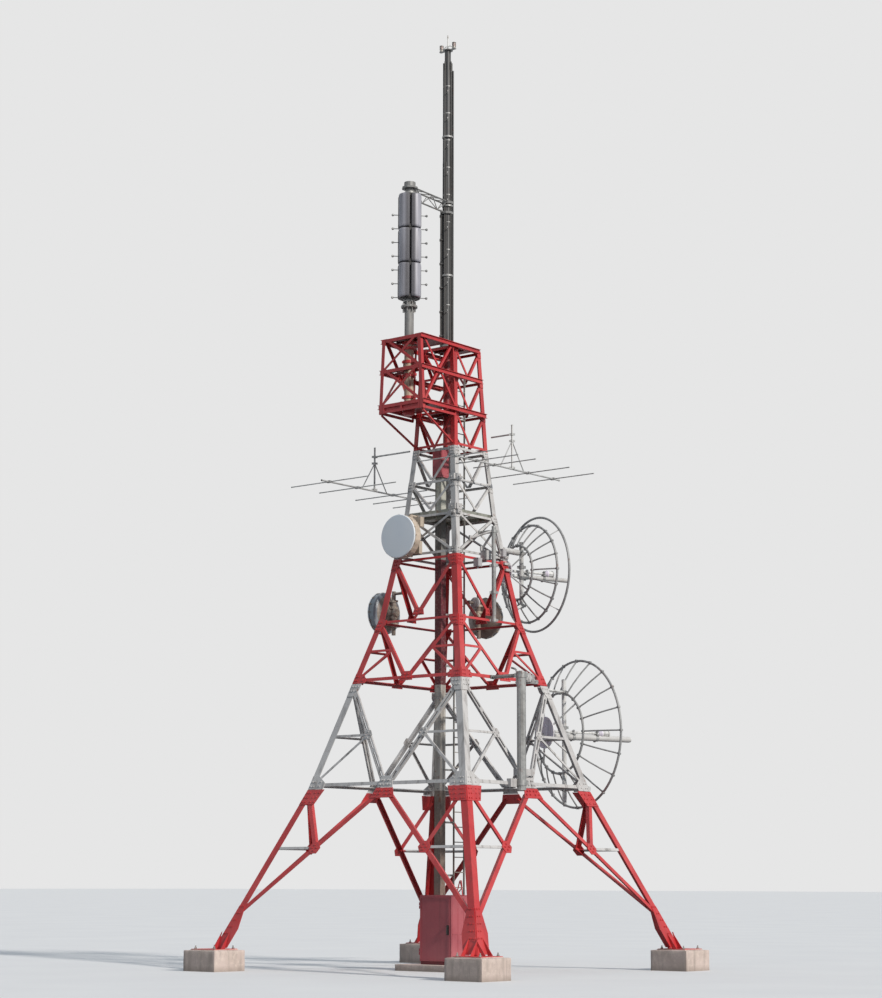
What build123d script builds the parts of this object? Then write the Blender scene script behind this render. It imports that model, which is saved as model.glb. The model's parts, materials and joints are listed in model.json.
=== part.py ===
"""Self-supporting lattice cell tower, about 20 m tall, in millimetres.

The tower stands on +Z with its axis on the origin; z = 0 is the underside of the four foundation
blocks.  The front faces -Y and the right side faces +X.  Every lattice face is drawn flat in its own
leaning plane: u runs along the face from its middle, and heights are real heights.
"""
from build123d import *
from math import atan2, cos, degrees, pi, radians, sin, sqrt
import os

# ---- Tower outline: height and half the width over the leg corners at each break -------------------
FOOT = 430.0          # top of the foundation blocks
KNEE = 3550.0         # steep legs meet the splayed feet
SHOULDER = 5680.0     # colour change, second ring
BEND = 7000.0         # legs turn steeper again
NECK = 8240.0         # colour change below the working platform
DECK = 9170.0         # working platform
BAND_TOP = 10520.0    # colour change below the cage
CAGE_FLOOR = 11310.0
CAGE_RAIL = 12030.0
CAGE_ROOF = 12670.0
PROFILE = [(FOOT, 3300.0), (KNEE, 2024.0), (BEND, 1030.0), (DECK, 672.0),
           (BAND_TOP, 546.0), (CAGE_ROOF, 438.0)]

# ---- Foundations ------------------------------------------------------------------------------------
BLOCK_SIDE = 860.0
BASE_PLATE_SIDE = 640.0
BASE_PLATE_THICK = 25.0
SLAB_SIZE = (1600.0, 1500.0)
SLAB_TOP = 130.0

# ---- Steel sections: angle leg width and thickness --------------------------------------------------
LEG_FOOT = (160.0, 14.0)
LEG_LOWER = (160.0, 14.0)
LEG_MIDDLE = (145.0, 12.0)
LEG_UPPER = (120.0, 10.0)
LEG_TOP = (105.0, 10.0)
BRACE_BIG = 90.0
BRACE_MID = 70.0
BRACE_SMALL = 50.0
ANGLE_THICK = 8.0
PLATE_THICK = 12.0
TWIN_SPREAD = 74.0    # between the middles of a twin bar's angles
TWIN_WIDTH = 34.0
TWIN_DEPTH = 50.0
BATTENS = (0.12, 0.31, 0.5, 0.69, 0.88)
GAP = 6.0             # clearance between neighbouring steel pieces

# ---- Cage overhang ----------------------------------------------------------------------------------
CAGE_FRONT = 1610.0   # from the tower's axis to the cage's front
CAGE_CLEAR = 66.0     # between the legs' corners and the cage's sides
CAGE_SKIRT = 190.0    # depth of the edge beams under the cage's floor
POST = 80.0
RAIL = (90.0, 38.0, 8.0)
RAIL_PACKING = 12.0   # between the cage's sides and their rails
RAIL_SHORT = (60.0, 105.0, 125.0)  # the rails end this far before the back of the legs

# ---- Cabinet ----------------------------------------------------------------------------------------
CABINET_X = (-310.0, 500.0)
CABINET_Y = (-570.0, 10.0)
CABINET_TOP = 1470.0
PLINTH = 60.0
SHEET = 4.0
DOOR_THICK = 22.0

# ---- Ducts, ladder and masts --------------------------------------------------------------------
DUCT = (-100.0, -200.0, 160.0)
LADDER_X = 60.0
LADDER_Y = (50.0, 380.0)
RUNG_STEP = 300.0
MAST_XY = (-50.0, -60.0)
MAST_RADIUS = 82.0
MAST_TIP_RADIUS = 66.0
MAST_STEP = 18800.0   # the thinner top length starts here
MAST_TOP = 19250.0
ANTENNA_MAST_RADIUS = 95.0
ANTENNA_XY = (0.0, -1360.0)

CORNERS = [(-1, -1), (1, -1), (1, 1), (-1, 1)]


def half_width(z):
    """Half the tower's width over the leg corners at height z."""
    for (z0, w0), (z1, w1) in zip(PROFILE, PROFILE[1:]):
        if z <= z1 or (z1, w1) == PROFILE[-1]:
            return w0 + (w1 - w0) * (z - z0) / (z1 - z0)


class LatticeFace:
    """A flat lattice face that may lean, with bars and plates given by (u, height)."""

    def __init__(self, origin, facing, slope=0.0):
        self.base = origin[2]
        self.stretch = sqrt(1 + slope ** 2)
        self.plane = Plane(origin=origin, x_dir=(-facing[1], facing[0], 0), z_dir=(*facing, slope))

    def spot(self, point):
        """The flat sketch point of (u, height)."""
        return Vector(point[0], (point[1] - self.base) * self.stretch)


def tower_side(base):
    """The tower's front face above a break."""
    return LatticeFace((0, -half_width(base), base), (0, -1), half_width(base) - half_width(base + 1))


def bar_line(side, start, end, cuts):
    """The two sketch ends of a bar, each cut back along it."""
    a, b = side.spot(start), side.spot(end)
    along = (b - a).normalized()
    return a + along * cuts[0], b - along * cuts[1]


def draw_strips(side, lines, breadth, offset, depth, clip):
    """Flat strips along the given lines, trimmed to the clear space between the legs."""
    with BuildSketch(side.plane) as strips:
        for a, b in lines:
            along = (b - a).normalized()
            across = Vector(-along.Y, along.X) * (1 if along.X > 0 else -1)
            centre = (a + b) / 2 + across * offset
            with Locations((centre.X, centre.Y)):
                Rectangle((b - a).length, breadth, rotation=degrees(atan2(along.Y, along.X)))
        with BuildLine():
            Polyline([side.spot(p) for p in clip], close=True)
        make_face(mode=Mode.INTERSECT)
    extrude(strips.sketch, amount=-depth)


def draw_bars(side, bars, width, clip, mirror_too=False):
    """Angle bars: one leg flat in the face, the other turned into the tower."""
    lines = [bar_line(side, p, q, cuts) for p, q, cuts in bars]
    if mirror_too:
        lines += [bar_line(side, (-p[0], p[1]), (-q[0], q[1]), cuts) for p, q, cuts in bars]
    draw_strips(side, lines, width, 0, ANGLE_THICK, clip)
    draw_strips(side, lines, ANGLE_THICK, (width - ANGLE_THICK) / 2, width, clip)


def draw_twin_bars(side, bars, spread, width, clip):
    """Bars of two parallel angles, tied by battens, mirrored about the middle of the face."""
    for p, q, cuts in bars + [((-p[0], p[1]), (-q[0], q[1]), cuts) for p, q, cuts in bars]:
        line = bar_line(side, p, q, cuts)
        along = line[1] - line[0]
        for shift in (-spread / 2, spread / 2):
            draw_strips(side, [line], width, shift, TWIN_DEPTH, clip)
        battens = [(line[0] + along * (t - 0.02), line[0] + along * (t + 0.02)) for t in BATTENS]
        draw_strips(side, battens, spread + width, 0, ANGLE_THICK, clip)


def between_legs(low, high, leg_width):
    """The clear trapezium between the legs, from low to high, as (u, height) points."""
    inset = leg_width + GAP
    return [(-(half_width(low) - inset), low), (half_width(low) - inset, low),
            (half_width(high) - inset, high), (-(half_width(high) - inset), high)]


def draw_plates(side, outlines, mirror_too=False):
    """Gusset plates on the outside of the face, each an outline of (u, height) points."""
    shapes = list(outlines)
    if mirror_too:
        shapes += [[(-u, z) for u, z in outline] for outline in outlines]
    with BuildSketch(side.plane) as plates:
        for outline in shapes:
            with BuildLine():
                Polyline([side.spot(p) for p in outline], close=True)
            make_face()
    extrude(plates.sketch, amount=PLATE_THICK)


def corner_plate(edge, tip, reach, neck):
    """A plate over a leg: its straight edge at one height, narrowing along the leg to its tip."""
    turn = edge + (tip - edge) * 0.45
    return [(half_width(edge) - GAP, edge), (half_width(edge) - reach, edge),
            (half_width(turn) - reach, turn), (half_width(tip) - neck, tip), (half_width(tip) - GAP, tip)]


def square_plate(edge, far, reach, far_reach):
    """A plate over a leg, with level edges at two heights."""
    low, high = min(edge, far), max(edge, far)
    low_reach, high_reach = (far_reach, reach) if far < edge else (reach, far_reach)
    return [(half_width(low) - GAP, low), (half_width(low) - low_reach, low),
            (half_width(high) - high_reach, high), (half_width(high) - GAP, high)]


def node_plate(point, half_u, half_z):
    """A six-sided plate where bars meet at (u, height)."""
    u, z = point
    return [(u - half_u, z), (u - half_u / 2, z - half_z), (u + half_u / 2, z - half_z),
            (u + half_u, z), (u + half_u / 2, z + half_z), (u - half_u / 2, z + half_z)]


def middle_plate(low, low_reach, high, high_reach):
    """A plate on the middle of a face."""
    return [(-low_reach, low), (low_reach, low), (high_reach, high), (-high_reach, high)]


def level_bar(z):
    """A horizontal bar right across the face at height z."""
    return ((-half_width(z), z), (half_width(z), z), (0, 0))


def four_sides(face):
    """The same face on all four sides of the tower."""
    with PolarLocations(0, 4):
        add(face.part)


def draw_leg_run(size, levels):
    """Four leaning angle legs, their corners turned out, through the given heights."""
    width, thick = size
    outline = [(0, 0), (width, 0), (width, thick), (thick, thick), (thick, width), (0, width)]
    for sx, sy in CORNERS:
        for low, high in zip(levels, levels[1:]):
            w0, w1 = half_width(low), half_width(high)
            with BuildSketch(Plane.XY.offset(low)) as profile:
                with BuildLine():
                    Polyline([(sx * (w0 - x), sy * (w0 - y)) for x, y in outline], close=True)
                make_face()
            lean = Vector(sx * (w1 - w0), sy * (w1 - w0), high - low)
            extrude(profile.sketch, amount=lean.length, dir=lean.normalized())


def save(builder, name):
    """Label a finished piece and write it as its own STEP file."""
    builder.part.label = name
    export_step(builder.part, f"parts/{name}.step")


os.makedirs("parts", exist_ok=True)

# ==== Foundations ====================================================================================
with BuildPart() as foundation_blocks:
    with BuildSketch():
        with Locations([(sx * PROFILE[0][1], sy * PROFILE[0][1]) for sx, sy in CORNERS]):
            Rectangle(BLOCK_SIDE, BLOCK_SIDE)
    extrude(amount=FOOT - BASE_PLATE_THICK)
save(foundation_blocks, "foundation_blocks")

with BuildPart() as base_plates:
    with BuildSketch(Plane.XY.offset(FOOT - BASE_PLATE_THICK)):
        with Locations([(sx * PROFILE[0][1], sy * PROFILE[0][1]) for sx, sy in CORNERS]):
            Rectangle(BASE_PLATE_SIDE, BASE_PLATE_SIDE)
    extrude(amount=BASE_PLATE_THICK)
save(base_plates, "base_plates")

with BuildPart() as cabinet_slab:
    with BuildSketch():
        Rectangle(*SLAB_SIZE)
    extrude(amount=SLAB_TOP)
save(cabinet_slab, "cabinet_slab")

# ==== Legs, one run for each colour band =============================================================
for run_name, leg_size, run_levels in (
    ("legs_bottom", LEG_FOOT, (FOOT, KNEE)),
    ("legs_lower", LEG_LOWER, (KNEE, SHOULDER)),
    ("legs_middle", LEG_MIDDLE, (SHOULDER, BEND, NECK)),
    ("legs_upper", LEG_UPPER, (NECK, DECK, BAND_TOP)),
    ("legs_top", LEG_TOP, (BAND_TOP, CAGE_ROOF)),
):
    with BuildPart() as legs:
        draw_leg_run(leg_size, run_levels)
    save(legs, run_name)

# ==== Bottom bracing: an inverted V on each face, with a strut back to the knee ======================
FOOT_JOINT = 990.0
STRUT_JOINT = 2390.0
with BuildPart() as face:
    side = tower_side(FOOT)
    clear = between_legs(FOOT, KNEE - 20, LEG_FOOT[0])
    foot_u = half_width(FOOT_JOINT)
    strut = (foot_u * (KNEE - STRUT_JOINT) / (KNEE - FOOT_JOINT), STRUT_JOINT)
    draw_bars(side, [((0, KNEE), (foot_u, FOOT_JOINT), (190, 0)),
                     (strut, (half_width(KNEE), KNEE), (0, 0))], BRACE_BIG, clear, mirror_too=True)
    draw_bars(side, [(strut, (half_width(STRUT_JOINT), STRUT_JOINT), (0, 0))], BRACE_SMALL, clear,
              mirror_too=True)
with BuildPart() as bracing_bottom:
    four_sides(face)
save(bracing_bottom, "bracing_bottom")

with BuildPart() as face:
    side = tower_side(FOOT)
    draw_plates(side, [square_plate(KNEE - 5, KNEE - 300, 450, 400), node_plate(strut, 150, 110)],
                mirror_too=True)
    draw_plates(side, [middle_plate(KNEE - 200, 300, KNEE - 5, 210)])

# The foot gussets are stiffened by fins that stand on the base plates.
FIN_HEIGHT, FIN_DEPTH, FIN_THICK = 330.0, 120.0, 12.0
FIN_INSETS = (80.0, 290.0)
with BuildPart() as foot:
    draw_plates(tower_side(FOOT), [corner_plate(FOOT + 20, FOOT_JOINT + 280, 330, 160)], mirror_too=True)
    low, high = FOOT + 2, FOOT + FIN_HEIGHT
    outline = [(-half_width(low) - GAP, low), (-half_width(low) - FIN_DEPTH, low),
               (-half_width(high) - PLATE_THICK, high), (-half_width(high) - GAP, high)]
    for inset in FIN_INSETS:
        for u in (half_width(FOOT) - inset, inset - half_width(FOOT)):
            flank = Plane(origin=(u - FIN_THICK / 2, 0, 0), x_dir=(0, 1, 0), z_dir=(1, 0, 0))
            with BuildSketch(flank) as fin:
                with BuildLine():
                    Polyline(outline, close=True)
                make_face()
            extrude(fin.sketch, amount=FIN_THICK)
with BuildPart() as leg_gussets:
    four_sides(face)
    four_sides(foot)
save(leg_gussets, "leg_gussets")

# ==== Knee ring: white beams and plates that carry the lower V bracing ===============================
with BuildPart() as face:
    side = tower_side(KNEE)
    draw_bars(side, [level_bar(KNEE + 90)], BRACE_MID, between_legs(KNEE + 20, KNEE + 200, LEG_LOWER[0]))
    draw_plates(side, [corner_plate(KNEE + 5, KNEE + 270, 400, 170)], mirror_too=True)
    draw_plates(side, [middle_plate(KNEE + 5, 200, KNEE + 230, 130)])
with BuildPart() as ring_knee:
    four_sides(face)
save(ring_knee, "ring_knee")

# ==== Lower bracing, white: V bars from the knee ring's middle up to the shoulders ===================
with BuildPart() as face:
    side = tower_side(KNEE)
    top_u = half_width(SHOULDER)
    middle = (KNEE + SHOULDER) / 2
    strut = (top_u / 2, middle)
    clear = between_legs(KNEE + 150, SHOULDER - 20, LEG_LOWER[0])
    draw_twin_bars(side, [((0, KNEE), (top_u, SHOULDER), (150, 0))], TWIN_SPREAD, TWIN_WIDTH, clear)
    draw_bars(side, [(strut, (half_width(middle), middle), (0, 0)),
                     (strut, (half_width(KNEE), KNEE), (0, 0))], BRACE_SMALL, clear, mirror_too=True)
    draw_plates(side, [corner_plate(SHOULDER - 5, SHOULDER - 260, 260, 165), node_plate(strut, 110, 90)],
                mirror_too=True)
with BuildPart() as bracing_lower:
    four_sides(face)
save(bracing_lower, "bracing_lower")

# ==== Shoulder ring, red ==============================================================================
with BuildPart() as face:
    side = tower_side(KNEE)
    draw_bars(side, [level_bar(SHOULDER + 70)], BRACE_MID,
              between_legs(SHOULDER + 5, SHOULDER + 200, LEG_MIDDLE[0]))
    draw_plates(side, [corner_plate(SHOULDER + 5, SHOULDER + 210, 330, 145)], mirror_too=True)
    draw_plates(side, [middle_plate(SHOULDER + 5, 170, SHOULDER + 190, 110)])
with BuildPart() as ring_shoulder:
    four_sides(face)
save(ring_shoulder, "ring_shoulder")


def v_panel(base, low, high, leg_width, brace, start, plate):
    """V bars from the middle of the low edge to the top corners, with a beam along the top."""
    side = tower_side(base)
    clear = between_legs(low, high, leg_width)
    draw_bars(side, [((0, start), (half_width(high), high), (0, 0))], brace, clear, mirror_too=True)
    draw_bars(side, [level_bar(high - 45)], BRACE_SMALL, clear)
    draw_plates(side, [corner_plate(high, high - plate, plate, leg_width)], mirror_too=True)


# ==== Middle bracing, red: two V panels, below and above the bend ====================================
with BuildPart() as face:
    v_panel(KNEE, SHOULDER + 125, BEND - 20, LEG_MIDDLE[0], BRACE_MID, SHOULDER, 230)
    side = tower_side(KNEE)
    middle = (SHOULDER + BEND) / 2
    strut = (half_width(BEND) / 2, middle)
    draw_bars(side, [(strut, (half_width(middle), middle), (0, 0)),
                     (strut, (half_width(SHOULDER), SHOULDER), (0, 0))], BRACE_SMALL,
              between_legs(SHOULDER + 125, BEND - 20, LEG_MIDDLE[0]), mirror_too=True)
with BuildPart() as face_above:
    v_panel(BEND, BEND + 20, NECK - 5, LEG_MIDDLE[0], BRACE_MID, BEND + 40, 225)
    draw_plates(tower_side(BEND), [middle_plate(BEND + 25, 150, BEND + 180, 110)])
with BuildPart() as bracing_middle:
    four_sides(face)
    four_sides(face_above)
save(bracing_middle, "bracing_middle")

# ==== Upper bracing, white: a crossed panel to the deck, then two V panels ===========================
with BuildPart() as face:
    side = tower_side(BEND)
    clear = between_legs(NECK + 30, DECK - 30, LEG_UPPER[0])
    draw_bars(side, [((-half_width(NECK), NECK), (half_width(DECK), DECK), (0, 0))], BRACE_SMALL, clear,
              mirror_too=True)
    draw_bars(side, [level_bar(NECK + 65), level_bar(DECK - 70)], BRACE_SMALL, clear)
    draw_plates(side, [corner_plate(NECK + 20, NECK + 150, 200, 122),
                       corner_plate(DECK - 20, DECK - 160, 200, 122)], mirror_too=True)
HALF_BAND = (DECK + BAND_TOP) / 2
with BuildPart() as face_above:
    v_panel(DECK, DECK + 60, HALF_BAND, LEG_UPPER[0], BRACE_SMALL, DECK + 60, 180)
    v_panel(DECK, HALF_BAND, BAND_TOP - 5, LEG_UPPER[0], BRACE_SMALL, HALF_BAND - 30, 170)
with BuildPart() as bracing_upper:
    four_sides(face)
    four_sides(face_above)
save(bracing_upper, "bracing_upper")

# ==== Top bracing, red: one panel below the cage and two inside it ===================================
with BuildPart() as face:
    for low, high in ((BAND_TOP + 10, CAGE_FLOOR), (CAGE_FLOOR, CAGE_RAIL), (CAGE_RAIL, CAGE_ROOF - 5)):
        v_panel(BAND_TOP, low, high, LEG_TOP[0], BRACE_SMALL, low - 20, 150)
    draw_bars(tower_side(BAND_TOP), [level_bar(BAND_TOP + 45)], BRACE_SMALL,
              between_legs(BAND_TOP + 10, BAND_TOP + 100, LEG_TOP[0]))
with BuildPart() as bracing_top:
    four_sides(face)
save(bracing_top, "bracing_top")

# ==== Cage: lattices around the overhang, leaning with the tower, and its decks ======================
INNER_Y = 540.0       # where the overhang starts, just in front of the tower's front face
LEVELS = (CAGE_FLOOR, CAGE_RAIL, CAGE_ROOF)
CAGE_LOW = CAGE_FLOOR - CAGE_SKIRT
BEAM_DROP = 40.0      # from a deck's level to the middle of its beam


def cage_half(z):
    """Half the cage's width at height z."""
    return half_width(z) + CAGE_CLEAR


def draw_panel(wall, clip, bars, width):
    """Bars of one panel, trimmed to its outline."""
    draw_bars(wall, [(p, q, (0, 0)) for p, q in bars], width, clip)


with BuildPart() as cage_sides:
    for facing in (1, -1):
        wall = LatticeFace((facing * cage_half(CAGE_FLOOR), 0, CAGE_FLOOR), (facing, 0),
                    half_width(CAGE_FLOOR) - half_width(CAGE_FLOOR + 1))
        start, end = -facing * INNER_Y, -facing * (CAGE_FRONT - POST - GAP)
        middle = (start + end) / 2
        clip = [(start, CAGE_LOW), (end, CAGE_LOW), (end, CAGE_ROOF), (start, CAGE_ROOF)]
        draw_panel(wall, clip, [((middle, CAGE_RAIL), (u, z)) for u in (start, end)
                                for z in (CAGE_FLOOR, CAGE_ROOF)], BRACE_SMALL)
        draw_panel(wall, clip, [((start, z - BEAM_DROP), (end, z - BEAM_DROP)) for z in LEVELS], BRACE_MID)
        draw_panel(wall, clip, [((start, CAGE_LOW + 25), (end, CAGE_LOW + 25)),
                                ((start, CAGE_LOW), (start, CAGE_ROOF))], BRACE_SMALL)
save(cage_sides, "cage_sides")


def front_edge(z, side=1):
    """The (u, height) point where the front lattice ends beside a post."""
    return side * (cage_half(z) - POST - GAP), z


with BuildPart() as cage_front:
    wall = LatticeFace((0, -CAGE_FRONT, CAGE_FLOOR), (0, -1))
    clip = [front_edge(CAGE_LOW, -1), front_edge(CAGE_LOW), front_edge(CAGE_ROOF), front_edge(CAGE_ROOF, -1)]
    diagonals = [(front_edge(low, side), front_edge(high, -side))
                 for low, high in zip(LEVELS, LEVELS[1:]) for side in (-1, 1)]
    sill = [(front_edge(CAGE_LOW + 25, -1), front_edge(CAGE_LOW + 25))]
    skirt_u = front_edge(CAGE_LOW)[0] - 25
    uprights = [((u, CAGE_LOW), (u, CAGE_FLOOR)) for u in (-skirt_u, 0, skirt_u)]
    draw_panel(wall, clip, diagonals + sill + uprights, BRACE_SMALL)
    draw_panel(wall, clip, [(front_edge(z - BEAM_DROP, -1), front_edge(z - BEAM_DROP)) for z in LEVELS],
               BRACE_MID)
save(cage_front, "cage_front")

with BuildPart() as cage_posts:
    outline = [(0, 0), (POST, 0), (POST, 8), (8, 8), (8, POST), (0, POST)]
    for sx in (-1, 1):
        with BuildSketch(Plane.XY.offset(CAGE_LOW)) as post:
            with BuildLine():
                Polyline([(sx * (cage_half(CAGE_LOW) - x), -CAGE_FRONT + y) for x, y in outline], close=True)
            make_face()
        lean = Vector(sx * (cage_half(CAGE_ROOF) - cage_half(CAGE_LOW)), 0, CAGE_ROOF - CAGE_LOW)
        extrude(post.sketch, amount=lean.length, dir=lean.normalized())
save(cage_posts, "cage_posts")

# Channel rails run past the outside of the legs, from the cage's front almost to the tower's back.
PACKING_INSET = 10.0
with BuildPart() as cage_rails:
    height, depth, web = RAIL
    for sx in (-1, 1):
        for z, short in zip(LEVELS, RAIL_SHORT):
            inner = cage_half(z) + RAIL_PACKING
            end_y = half_width(z) - short
            with BuildSketch(Plane.XZ.offset(CAGE_FRONT)) as channel:
                with Locations((sx * (inner + web / 2), z - height / 2)):
                    Rectangle(web, height)
                with Locations(*[(sx * (inner + depth / 2), z - dz) for dz in (web / 2, height - web / 2)]):
                    Rectangle(depth, web)
            extrude(channel.sketch, amount=-(CAGE_FRONT + end_y))
            # Packing holds the rail off the cage's side, longer blocks off the tower's legs.
            for y, face_x in ((-CAGE_FRONT + POST / 2, cage_half(z - height) + 1),
                              (-(CAGE_FRONT + INNER_Y) / 2, cage_half(z - height) + 1),
                              (-half_width(z) + POST, half_width(z - height) + PLATE_THICK + 1),
                              (end_y - POST / 2, half_width(z - height) + PLATE_THICK + 1)):
                with BuildSketch(Plane.XY.offset(z - height + PACKING_INSET)) as packing:
                    with Locations((sx * (inner + face_x) / 2, y)):
                        Rectangle(inner - face_x, POST)
                extrude(packing.sketch, amount=height - 2 * PACKING_INSET)
save(cage_rails, "cage_rails")

DECK_THICK = 8.0
JOIST = 50.0
JOIST_WIDTH = 16.0
HATCH = (420.0, 400.0)


def draw_hatch():
    """The opening the climbing ladder passes through."""
    with Locations((LADDER_X + 150, sum(LADDER_Y) / 2)):
        Rectangle(*HATCH, mode=Mode.SUBTRACT)


def draw_joists(xy, gap, half):
    """Joists on both sides of a mast."""
    with Locations(*[(0, xy[1] + side * (gap + 10)) for side in (-1, 1)]):
        Rectangle(2 * half, JOIST_WIDTH)


with BuildPart() as cage_decks:
    for level, has_hatch in ((CAGE_FLOOR - DECK_THICK, True), (CAGE_ROOF, False)):
        inner = half_width(level) - BRACE_SMALL - GAP
        with BuildSketch(Plane.XY.offset(level)) as deck:
            Rectangle(2 * inner, 2 * inner)
            with Locations((0, -(INNER_Y + CAGE_FRONT - POST) / 2)):
                Rectangle(2 * (cage_half(level) - POST), CAGE_FRONT - POST - INNER_Y - 20)
            if has_hatch:
                draw_hatch()
            with Locations(ANTENNA_XY):
                Circle(ANTENNA_MAST_RADIUS + GAP, mode=Mode.SUBTRACT)
            with Locations(MAST_XY):
                Circle(MAST_RADIUS + 1, mode=Mode.SUBTRACT)
        extrude(deck.sketch, amount=DECK_THICK)
        with BuildSketch(Plane.XY.offset(level - JOIST)) as joists:
            draw_joists(MAST_XY, MAST_RADIUS, inner - 60)
            draw_joists(ANTENNA_XY, ANTENNA_MAST_RADIUS, cage_half(level) - POST)
        extrude(joists.sketch, amount=JOIST)
    with BuildSketch(Plane.XY.offset(CAGE_RAIL - JOIST)) as joists:
        draw_joists(ANTENNA_XY, ANTENNA_MAST_RADIUS, cage_half(CAGE_RAIL) - POST)
    extrude(joists.sketch, amount=JOIST)
save(cage_decks, "cage_decks")


def draw_rod(start, end, radius, sides=6, cuts=(0, 0)):
    """A straight bar of few sides between two points."""
    a, b = Vector(*start), Vector(*end)
    along = (b - a).normalized()
    a, b = a + along * cuts[0], b - along * cuts[1]
    with BuildSketch(Plane(origin=a, z_dir=along)) as section:
        RegularPolygon(radius, sides)
    extrude(section.sketch, amount=(b - a).length)


with BuildPart() as cage_struts:
    for sx in (-1, 1):
        foot_x, foot_y = sx * (half_width(BAND_TOP + 60) - 55), -half_width(BAND_TOP) - 1
        head_x = sx * (cage_half(CAGE_LOW) - 42)
        draw_rod((head_x, -CAGE_FRONT + 42, CAGE_LOW - 28), (foot_x, foot_y - 12, BAND_TOP + 65), 26)
        with Locations((head_x, -CAGE_FRONT + 42, CAGE_LOW - 5)):
            Box(POST, POST, 8)
        with Locations((foot_x, foot_y - 5, BAND_TOP + 65)):
            Box(90, 10, 120)
save(cage_struts, "cage_struts")

# ==== Working platform ===============================================================================
RIM = 90.0
with BuildPart() as platform_deck:
    inner = half_width(DECK) - BRACE_SMALL - GAP
    with BuildSketch(Plane.XY.offset(DECK)) as deck:
        Rectangle(2 * inner, 2 * inner)
        draw_hatch()
        with Locations(DUCT[:2]):
            Rectangle(DUCT[2] + 2, DUCT[2] + 2, mode=Mode.SUBTRACT)
    extrude(deck.sketch, amount=30)
    with BuildSketch(Plane.XY.offset(DECK + 30 - RIM)) as rim:
        Rectangle(2 * inner, 2 * inner)
        Rectangle(2 * inner - 16, 2 * inner - 16, mode=Mode.SUBTRACT)
        with Locations(*[(0, DUCT[1] + side * (DUCT[2] / 2 + 30)) for side in (-1, 1)]):
            Rectangle(2 * inner, 40)
    extrude(rim.sketch, amount=RIM)
save(platform_deck, "platform_deck")

# ==== Cabinet on its slab =============================================================================
cabinet_w, cabinet_d = CABINET_X[1] - CABINET_X[0], CABINET_Y[1] - CABINET_Y[0]
cabinet_mid = (sum(CABINET_X) / 2, sum(CABINET_Y) / 2)
with BuildPart() as cabinet_plinth:
    with BuildSketch(Plane.XY.offset(SLAB_TOP)):
        with Locations((cabinet_mid[0], cabinet_mid[1] + DOOR_THICK / 2)):
            Rectangle(cabinet_w - 20, cabinet_d - DOOR_THICK - 20)
    extrude(amount=PLINTH)
save(cabinet_plinth, "cabinet_plinth")

body_front = CABINET_Y[0] + DOOR_THICK + 5
with BuildPart() as cabinet_body:
    with BuildSketch(Plane.XY.offset(SLAB_TOP + PLINTH)):
        with Locations((cabinet_mid[0], (body_front + CABINET_Y[1]) / 2)):
            Rectangle(cabinet_w, CABINET_Y[1] - body_front)
    extrude(amount=CABINET_TOP - SLAB_TOP - PLINTH)
    offset(amount=-SHEET, openings=cabinet_body.faces().sort_by(Axis.Y)[0])
save(cabinet_body, "cabinet_body")

HINGE_XY = (CABINET_X[0] - 3.0, CABINET_Y[0] - 4.0)
DOOR_LOW, DOOR_HIGH = SLAB_TOP + PLINTH + 10, CABINET_TOP - 10
HINGE_LEVELS = (DOOR_LOW + 180, DOOR_HIGH - 180)
KNUCKLE = 60.0
with BuildPart() as cabinet_door:
    with BuildSketch(Plane.XY.offset(DOOR_LOW)):
        with Locations(((CABINET_X[0] + 10 + CABINET_X[1]) / 2, CABINET_Y[0] + DOOR_THICK / 2)):
            Rectangle(cabinet_w - 10, DOOR_THICK)
    extrude(amount=DOOR_HIGH - DOOR_LOW)
    for level in HINGE_LEVELS:
        with BuildSketch(Plane.XY.offset(level)):
            with Locations(HINGE_XY):
                Circle(8)
            with Locations((HINGE_XY[0] + 25, CABINET_Y[0] - 2)):
                Rectangle(50, 4)
        extrude(amount=KNUCKLE)
save(cabinet_door, "cabinet_door")

with BuildPart() as door_hinges:
    for level in HINGE_LEVELS:
        with BuildSketch(Plane.XY.offset(level - KNUCKLE - 5)):
            with Locations(HINGE_XY):
                Circle(8)
            with Locations((CABINET_X[0] - 2, (CABINET_Y[0] - 4 + body_front + 40) / 2)):
                Rectangle(4, body_front + 40 - CABINET_Y[0] + 4)
        extrude(amount=KNUCKLE)
save(door_hinges, "door_hinges")

with BuildPart() as door_handle:
    with BuildSketch(Plane.XY.offset(730)):
        with Locations((CABINET_X[1] - 90, CABINET_Y[0] - 15)):
            Rectangle(40, 30)
    extrude(amount=150)
save(door_handle, "door_handle")

# ==== Cable duct, ladder and the upper enclosure ======================================================
ENCLOSURE = (240.0, 9950.0, 10560.0)
with BuildPart() as cable_duct:
    with BuildSketch(Plane.XY.offset(CABINET_TOP)):
        with Locations(DUCT[:2]):
            Rectangle(DUCT[2], DUCT[2])
    extrude(amount=ENCLOSURE[1] - CABINET_TOP)
save(cable_duct, "cable_duct")

with BuildPart() as upper_enclosure:
    with BuildSketch(Plane.XY.offset(ENCLOSURE[1])):
        with Locations(DUCT[:2]):
            Rectangle(ENCLOSURE[0], ENCLOSURE[0])
    extrude(amount=ENCLOSURE[2] - ENCLOSURE[1])
save(upper_enclosure, "upper_enclosure")

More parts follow.
